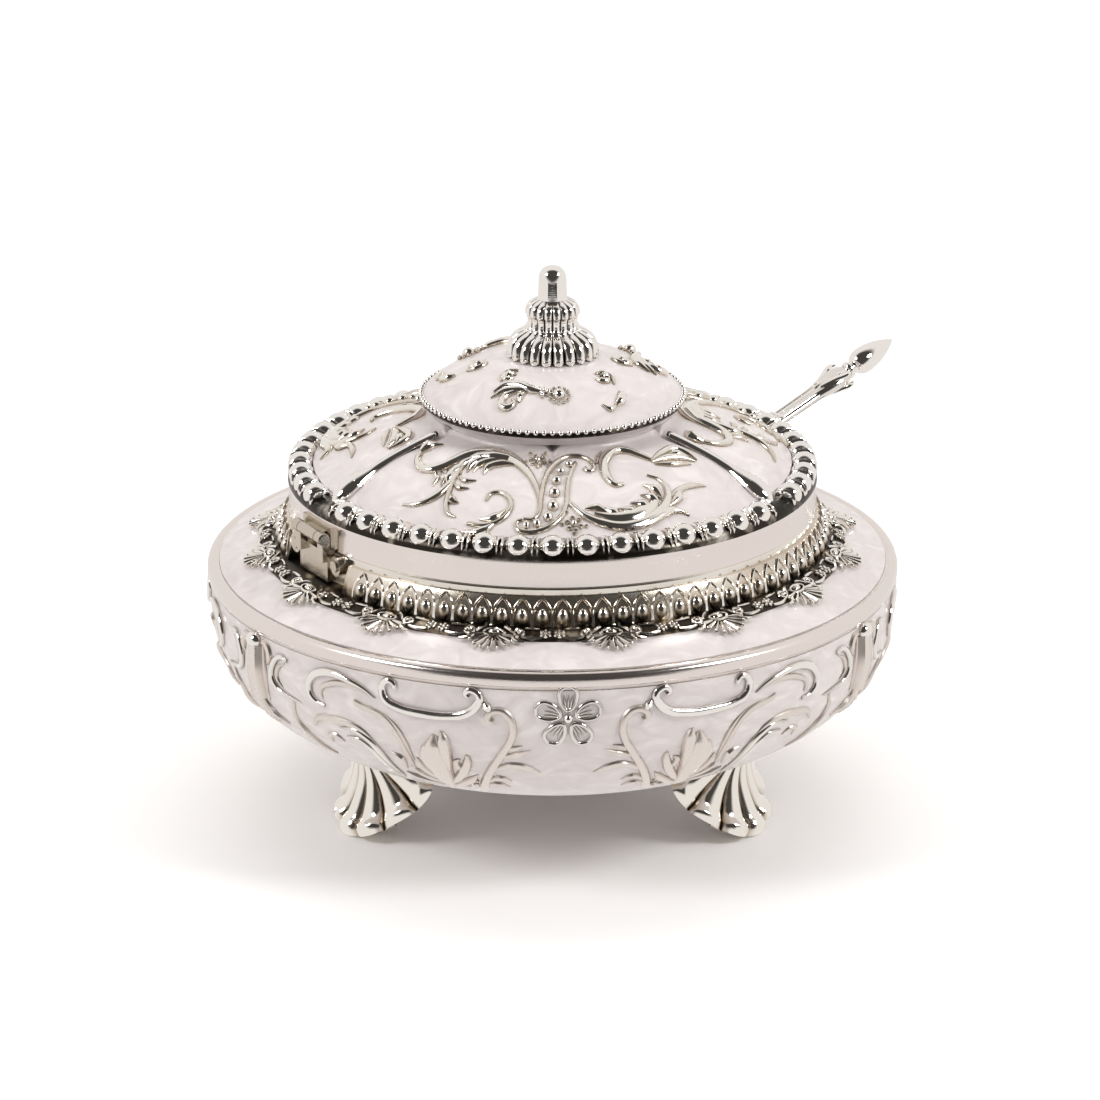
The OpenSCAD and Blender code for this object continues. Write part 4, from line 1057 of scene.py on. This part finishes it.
sprig = [
    [(0.2, 0.8, 0.3), (-11.6, 15.6), (-9.4, 14.6), (-6.6, 15.4), (-4.2, 17.0), (-2.2, 17.8)],
    [(0.1, 0.6, 0.2), (-12.2, 17.0), (-9.6, 16.2), (-6.6, 16.6), (-4.0, 17.4)],
    [(0.2, 0.55, 0.2), (-5.6, 16.8), (-7.8, 17.0), (-9.6, 18.0), (-10.0, 19.6), (-8.8, 20.6), (-7.6, 19.8),
     (-8.0, 18.8)],
    [(0.1, 0.55, 0.15), (-5.0, 17.2), (-6.4, 18.4), (-6.6, 19.8)],
    [(0.3, 0.35, 0.3), (-2.4, 17.8), (-1.2, 18.3), (0.2, 18.6)],
    [(0.2, 0.7, 0.15), (-9.2, 12.4), (-8.4, 11.0), (-7.2, 11.2)],
    [(0.15, 0.4, 0.15), (-10.2, 12.6), (-9.8, 10.6), (-8.4, 9.6), (-6.8, 9.8)],
    [(0.2, 0.7, 0.15), (9.2, 11.6), (10.4, 11.0), (11.4, 12.2)],
    [(0.15, 0.4, 0.15), (8.4, 10.6), (10.0, 9.8), (11.8, 10.8), (12.2, 12.8)],
    [(0.15, 0.4, 0.15), (9.8, 19.6), (11.4, 20.0), (12.6, 18.8)],
    [(0.25, 0.7, 0.2), (12.6, 18.6), (13.3, 17.4), (13.7, 15.8), (13.2, 14.8)],
    [(0.2, 0.5, 0.2), (-7.6, 10.4), (-8.8, 10.6), (-9.6, 11.6), (-9.0, 12.6), (-7.8, 12.4)],
    [(0.2, 0.5, 0.2), (8.6, 12.4), (9.6, 12.8), (10.8, 12.4), (11.2, 11.2)],
]
sprigs = draw(sprig, 1.1, 0.2, 3, 4, 1.45)
ball(sprigs, 1.3, 18.7, (1.25, 1.25, 1.3), 0.4, 14)
balls_round(sprigs, 1.3, 18.7, 2.0, 12, (0.4, 0.4, 0.5), 0.3)
for x, y in ((-2.6, 17.2), (-1.6, 17.4), (-2.0, 18.8), (-0.8, 17.8)):
    ball(sprigs, x, y, (0.55, 0.55, 0.6), 0.35, 8)
mark_recess(sprigs, 0.8)
lay(sprigs, on_crown)
repeat(sprigs, turn_to, (-120, 120))
make_piece("crown_sprigs_cast", sprigs, "lid", [toned_and_shaded])

# %% [markdown]
# The knob is three pieces on a hidden stud: a bell of deep flutes with a scalloped lower edge, a smaller
# fluted cup on a fluted waist, and a smooth domed tip. Flutes are made by drawing points in and out with the
# bearing, deepest where the wall is steepest, and the lower edge drops a little at every rib.

# %% Knob
BELL_TOP = box_mm("knob_bell")[1][2]
CUP_TOP = box_mm("knob_cup")[1][2]
TIP_TOP = box_mm("knob_tip")[1][2]
WAIST_R = BELL_R * 0.58
STUD_R = 1.65
BELL_FLUTES, CUP_FLUTES = 22, 18


def flute(bm, count, depth_at, scallop, low, high):
    """Press rounded flutes into a turned form and mark the grooves."""
    layer = bm.verts.layers.float["recess"]
    for vert in bm.verts:
        r = math.hypot(vert.co.x, vert.co.y)
        if r < STUD_R + 0.3:
            continue
        wave = abs(math.sin(math.radians(bearing_of(vert.co)) * count / 2))
        share = (vert.co.z - low) / (high - low)
        depth = depth_at(share)
        factor = 1 - depth * (1 - wave ** 0.5) / r
        vert.co.x *= factor
        vert.co.y *= factor
        if scallop and share < 0.12:
            vert.co.z += scallop * (1 - wave) * (1 - share / 0.12)
        # Painted shade and tarnish: the grooves between the flutes are marked as recess, so they go dark.
        vert[layer] = min(max((0.42 - wave) * 4, 0.0), 1.5) if depth > 0.1 else 0.0


bell = turned([(STUD_R, SEAT_Z), (BELL_R - 0.5, SEAT_Z), (BELL_R - 0.1, SEAT_Z + 0.15)]
              + arc((BELL_R, SEAT_Z + 0.5), (BELL_R * 1.02, SEAT_Z + 3.9),
                    (WAIST_R + 0.7, BELL_TOP - 1.0), 12)
              + arc((WAIST_R + 0.5, BELL_TOP - 0.85), (WAIST_R, BELL_TOP - 0.6), (WAIST_R, BELL_TOP), 3)
              + [(STUD_R, BELL_TOP)], BELL_FLUTES * 16)
flute(bell, BELL_FLUTES, lambda s: 1.25 * math.sin(math.pi * min(1, 0.3 + s * 0.7)) ** 0.8, 0.7,
      SEAT_Z, BELL_TOP)
make_piece("knob_bell_fluted", bell, "lid", [polished], ["knob_bell"])

cup_h = CUP_TOP - BELL_TOP
cup = turned([(STUD_R, BELL_TOP), (WAIST_R - 0.35, BELL_TOP)]
             + arc((WAIST_R - 0.4, BELL_TOP + 0.2), (WAIST_R - 0.55, BELL_TOP + cup_h * 0.3),
                   (WAIST_R - 0.1, BELL_TOP + cup_h * 0.42), 5)
             + arc((WAIST_R + 0.1, BELL_TOP + cup_h * 0.46), (WAIST_R + 0.25, BELL_TOP + cup_h * 0.85),
                   (3.3, CUP_TOP - 0.15), 10)
             + [(3.0, CUP_TOP), (STUD_R, CUP_TOP)], CUP_FLUTES * 16)
flute(cup, CUP_FLUTES, lambda s: 0.8 * math.sin(math.pi * min(1, 0.3 + s * 0.68)) ** 0.8, 0.0,
      BELL_TOP, CUP_TOP)
make_piece("knob_cup_fluted", cup, "lid", [polished], ["knob_cup"])

TIP_R = 2.95
tip = turned([(0, CUP_TOP), (TIP_R + 0.05, CUP_TOP)]
             + arc((TIP_R, CUP_TOP + 0.5), (TIP_R - 0.1, CUP_TOP + 2.4), (TIP_R - 0.12, TIP_TOP - 2.9), 5)
             + arc((TIP_R - 0.14, TIP_TOP - 2.6), (TIP_R - 0.3, TIP_TOP - 0.02), (0, TIP_TOP), 12),
             96, closed=False)
make_piece("knob_tip_polished", tip, "lid", [polished], ["knob_tip"])

# %% [markdown]
# ## The hinge and the hidden fasteners
# The hinge's two leaves, its pin and rivets, the foot screws and the knob's stud are already right in the
# frame: they are flat strip, round wire and turned screws. They stay as they are and only get a finish.

# %% Finishes for the pieces kept from the frame
KEPT = {
    "hinge_body_leaf": hinge_metal, "hinge_lid_leaf": hinge_metal, "hinge_pin": screw_metal,
    "hinge_body_rivets": hinge_metal, "hinge_lid_rivets": hinge_metal, "foot_screws": screw_metal,
    "knob_stud": screw_metal, "knob_washer": screw_metal, "knob_nut": screw_metal,
}
for node, finish in KEPT.items():
    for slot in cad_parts[node].material_slots:
        slot.material = finish
print("kept from the frame:", ", ".join(KEPT))

# %% [markdown]
# ## The spoon
# The spoon is drawn straight, as its blank would be before bending: a pointed bud, a collar, an acanthus
# swelling, a reeded stem with cross bands, and a shallow cup. Then every point goes through one function
# that bends the blank along the same line as the frame's spoon and turns it to its bearing. s runs from the
# handle's tip, y goes across and the third number is the height above the middle line.

# %% The spoon's middle line
SLOPE = math.radians(20)
HANDLE_OUT = 40.3
STRAIGHT = HANDLE_OUT + COLLAR_R - 15.4
BEND_R, BEND = 95.0, math.radians(21)
CUP_R, CUP_TURN = 58.0, math.radians(34)
BEND_END = STRAIGHT + BEND_R * BEND
SPOON_L = BEND_END + CUP_R * CUP_TURN
TIP = Vector((COLLAR_R + HANDLE_OUT * math.cos(SLOPE), RIM_Z + 2.7 + HANDLE_OUT * math.sin(SLOPE)))


def chord(first, last):
    """The chord of a unit arc between two slopes."""
    return Vector((math.sin(last) - math.sin(first), math.cos(first) - math.cos(last)))


def spoon_line(s):
    """Place and slope of the middle line at distance s from the tip."""
    down = Vector((math.cos(SLOPE), math.sin(SLOPE)))
    straight_end = TIP - STRAIGHT * down
    if s <= STRAIGHT:
        return TIP - s * down, SLOPE
    turn = SLOPE + min(s - STRAIGHT, BEND_R * BEND) / BEND_R
    bent = straight_end - BEND_R * chord(SLOPE, turn)
    if s <= BEND_END:
        return bent, turn
    rest = turn - (s - BEND_END) / CUP_R
    return bent - CUP_R * chord(rest, turn), rest


def on_spoon(p):
    middle, slope = spoon_line(p.x)
    radius = middle.x - p.z * math.sin(slope)
    height = middle.y + p.z * math.cos(slope)
    a = math.radians(SPOON_BEARING)
    out, across = Vector((math.sin(a), -math.cos(a), 0)), Vector((math.cos(a), math.sin(a), 0))
    return out * radius + across * p.y + Vector((0, 0, height))


# %% The spoon's blank
def turned_along(section, steps=40):
    """Turn a section of (s, radius) about the blank's middle line."""
    bm = bmesh.new()
    bm.verts.layers.float.new("recess")
    verts = [bm.verts.new((s, radius, 0)) for s, radius in section]
    edges = [bm.edges.new(pair) for pair in zip(verts, verts[1:])]
    bmesh.ops.spin(bm, geom=verts + edges, cent=(0, 0, 0), axis=(1, 0, 0), angle=math.tau,
                   steps=steps, use_merge=True)
    bmesh.ops.remove_doubles(bm, verts=bm.verts, dist=MERGE)
    return bm


bud = turned_along([(0, 0)] + arc((0.1, 0.12), (3.0, 2.0), (6.6, 2.6), 10)
                   + arc((7.0, 2.66), (10.4, 3.1), (11.4, 1.5), 8)
                   + arc((11.5, 1.4), (12.0, 1.1), (12.4, 1.5), 4)
                   + arc((12.5, 1.7), (13.1, 2.1), (13.6, 1.5), 4) + [(13.8, 1.2), (13.8, 0)])
SWELL = (13.4, 22.0)
STEM_W, STEM_T = 4.4, 2.1
CUP_START = BEND_END - BEND_R * BEND * 0.2
stem = turned_along([(SWELL[0], 0), (SWELL[0], 1.2)] + arc((13.8, 2.0), (16.4, 4.0), (SWELL[1], 2.3), 8)
                    + arc((24.0, 2.2), (30.0, 2.05), (HANDLE_OUT, 2.1), 6)
                    + [(s, 2.1) for s in range(44, int(CUP_START), 4)]
                    + [(CUP_START, 2.1), (CUP_START + 1, 1.9), (CUP_START + 1, 0)])
for vert in stem.verts:
    vert.co.z *= 0.62 if vert.co.x < SWELL[1] else STEM_T / STEM_W
set_recess(stem, lambda co: 0.2)
join(stem, bud)
reeds = [[(0.25, 0.32, 0.3), (18.5, y * 1.5), (22.0, y), (28.0, y * 0.85), (35.0, y * 0.85)]
         for y in (-1.45, 0, 1.45)]
leaves = [[(0.2, 0.7, 0.2), (22.5, 0.0), (18.0, 0.0), (14.4, 0.0)]]
for y in (-1, 1):
    leaves.append([(0.2, 0.75, 0.25), (21.5, y * 0.9), (18.0, y * 1.9), (15.4, y * 2.9), (14.2, y * 2.4)])
    leaves.append([(0.2, 0.6, 0.2), (19.0, y * 0.5), (16.4, y * 1.2), (14.6, y * 1.3)])
bands = [[(0.35, 0.4, 0.35), (s, -2.2), (s, 0), (s, 2.2)] for s in (33.2, 34.6, 37.4, 38.8)]
for strokes, height in ((reeds, 0.85), (leaves, 1.35), (bands, 0.9)):
    for face_side in (1, -1):
        join(stem, draw(strokes, 0.8, face_side * height, 2, 4))
CUP_HALF, CUP_DIP = 11.5, 5.0
cup_l = SPOON_L - CUP_START
blade = bmesh.new()
blade.verts.layers.float.new("recess")
bmesh.ops.create_grid(blade, x_segments=56, y_segments=28, size=0.5)
for vert in blade.verts:
    q, v = vert.co.x + 0.5, vert.co.y * 2
    half = max(2.1 * (1 - q) ** 2, CUP_HALF * math.sin(math.pi * min(max(q, 0.0), 1.0) ** 0.85) ** 0.62, 0.3)
    dip = CUP_DIP * math.sin(math.pi * q) ** 0.8 if 0 < q < 1 else 0.0
    vert.co = Vector((CUP_START + cup_l * q, half * v, -dip * (1 - v * v) + 0.1))
bmesh.ops.recalc_face_normals(blade, faces=blade.faces)
if sum(f.normal.z for f in blade.faces) < 0:
    bmesh.ops.reverse_faces(blade, faces=blade.faces)
bmesh.ops.solidify(blade, geom=list(blade.faces), thickness=1.0)
join(stem, blade)
lay(stem, on_spoon)
make_piece("spoon_leaf_handle", stem, "spoon", [polished], ["spoon"])

# %% [markdown]
# ## Floor, light and camera
# Bright metal shows the room it stands in. A product photographer gives it a white table, pale walls, two
# round lamps high on the left and right, and leaves the side of the camera dark. The dark reflections draw
# the edges of beads and flutes. So the world is pale at the sides and dark towards the camera, and the lamps
# are large soft ones. The floor and the backdrop are one plain pale sweep. It is kept out of reflections, or
# bright metal would be as white as the paper behind it and lose its outline.

# %% Floor and backdrop
def plain_finish(name, code, roughness):
    material, shader = new_finish(name, Roughness=roughness)
    place = add(material, "ShaderNodeTexCoord").outputs["Object"]
    grain = add(material, "ShaderNodeTexNoise", {"Scale": 4.0, "Detail": 2.0}, {"Vector": place})
    tone = add(material, "ShaderNodeMix", {6: colour(code), 7: colour("#FDFCFB")}, {0: grain.outputs["Fac"]},
               data_type="RGBA")
    material.node_tree.links.new(tone.outputs[2], shader.inputs["Base Color"])
    return material


sweep_section = [(-1.6, 0.0), (0.9, 0.0), (1.2, 0.08), (1.38, 0.28), (1.45, 0.6), (1.45, 1.8)]
sweep = bmesh.new()
knots = [sweep.verts.new((-1.8, y, z - 0.0004)) for y, z in sweep_section]
line = [sweep.edges.new(pair) for pair in zip(knots, knots[1:])]
made = bmesh.ops.extrude_edge_only(sweep, edges=line)["geom"]
bmesh.ops.translate(sweep, verts=[g for g in made if isinstance(g, bmesh.types.BMVert)], vec=(3.6, 0, 0))
bmesh.ops.recalc_face_normals(sweep, faces=sweep.faces)
for face in sweep.faces:
    face.smooth = True
sweep_mesh = bpy.data.meshes.new("sweep")
sweep.to_mesh(sweep_mesh)
sweep.free()
sweep_mesh.materials.append(plain_finish("paper_sweep_matt", "#FAF9F8", 0.8))
sweep_piece = bpy.data.objects.new("sweep", sweep_mesh)
bpy.context.collection.objects.link(sweep_piece)
sweep_piece.visible_glossy = False

# %% World and lamps
world = bpy.data.worlds.new("studio")
bpy.context.scene.world = world
world.use_nodes = True
background = world.node_tree.nodes["Background"]
look = add(world, "ShaderNodeTexCoord").outputs["Generated"]
DARK_TO = (0.0, -0.72, 0.69)
facing = add(world, "ShaderNodeVectorMath", {1: DARK_TO}, {0: look}, operation="DOT_PRODUCT")
dark_part = add(world, "ShaderNodeMapRange", {"From Min": 0.42, "From Max": 0.72},
                {"Value": facing.outputs["Value"]}, interpolation_type="SMOOTHSTEP")
sky = add(world, "ShaderNodeMix", {6: colour("#FFFBF8"), 7: colour("#4A4744")}, {0: dark_part.outputs[0]},
          data_type="RGBA")
world.node_tree.links.new(sky.outputs[2], background.inputs["Color"])
background.inputs["Strength"].default_value = 0.85


def lamp(name, place, target, size, watts, shape="DISK", seen=True):
    """An area lamp; seen=False keeps its shape out of the reflections, as a silk overhead does."""
    light = bpy.data.lights.new(name, "AREA")
    light.shape, light.size, light.energy = shape, size, watts
    stand = bpy.data.objects.new(name, light)
    stand.location = place
    stand.rotation_euler = (Vector(target) - Vector(place)).to_track_quat("-Z", "Y").to_euler()
    stand.visible_glossy = seen
    bpy.context.collection.objects.link(stand)


middle = (0, 0, 0.05)
lamp("lamp_left", (-0.85, -0.42, 0.78), middle, 0.4, 4.8)
lamp("lamp_right", (0.85, -0.42, 0.78), middle, 0.36, 5.8)
lamp("silk_overhead", (0.0, -0.15, 1.5), middle, 1.6, 5.4, "SQUARE", False)
lamp("silk_front", (0.0, -1.5, 0.7), middle, 1.0, 3.6, "SQUARE", False)
lamp("backdrop_light", (0.0, 0.5, 1.5), (0, 1.45, 0.5), 1.2, 11.0, "SQUARE", False)

# %% [markdown]
# A black card stands low in front of the bowl, below the camera's view. It only exists for reflections,
# and it gives the knob's tip and the beads a dark middle. The picture is shown with plain display colours,
# so that white paper comes out white.

# %% Flag card and display
card_mesh = bpy.data.meshes.new("flag_card")
card = bmesh.new()
bmesh.ops.create_grid(card, x_segments=1, y_segments=1, size=0.5,
                      matrix=Matrix.Translation((0, -0.3, 0.024)) @ Matrix.Rotation(math.pi / 2, 4, "X")
                      @ Matrix.Diagonal((0.44, 0.044, 1, 1)))
card.to_mesh(card_mesh)
card.free()
black_card, shader = new_finish("card_black_matt", Roughness=0.9)
shader.inputs["Base Color"].default_value = colour("#2E2C2A")
card_mesh.materials.append(black_card)
flag_card = bpy.data.objects.new("flag_card", card_mesh)
bpy.context.collection.objects.link(flag_card)
flag_card.visible_camera = flag_card.visible_diffuse = flag_card.visible_shadow = False
bpy.context.scene.view_settings.view_transform = "Standard"

# %% Camera
ELEVATION = math.radians(19.5)
DISTANCE = 1.12
AIM = Vector((-0.0005, 0.0, 0.0524))
camera_data = bpy.data.cameras.new("camera")
camera_data.lens = 180.0
camera_data.sensor_width = 36.0
camera = bpy.data.objects.new("camera", camera_data)
camera.location = AIM + DISTANCE * Vector((0, -math.cos(ELEVATION), math.sin(ELEVATION)))
camera.rotation_euler = (AIM - camera.location).to_track_quat("-Z", "Y").to_euler()
bpy.context.collection.objects.link(camera)
bpy.context.scene.camera = camera

# %% Count the pieces and finish
print("pieces made:", len(MADE))
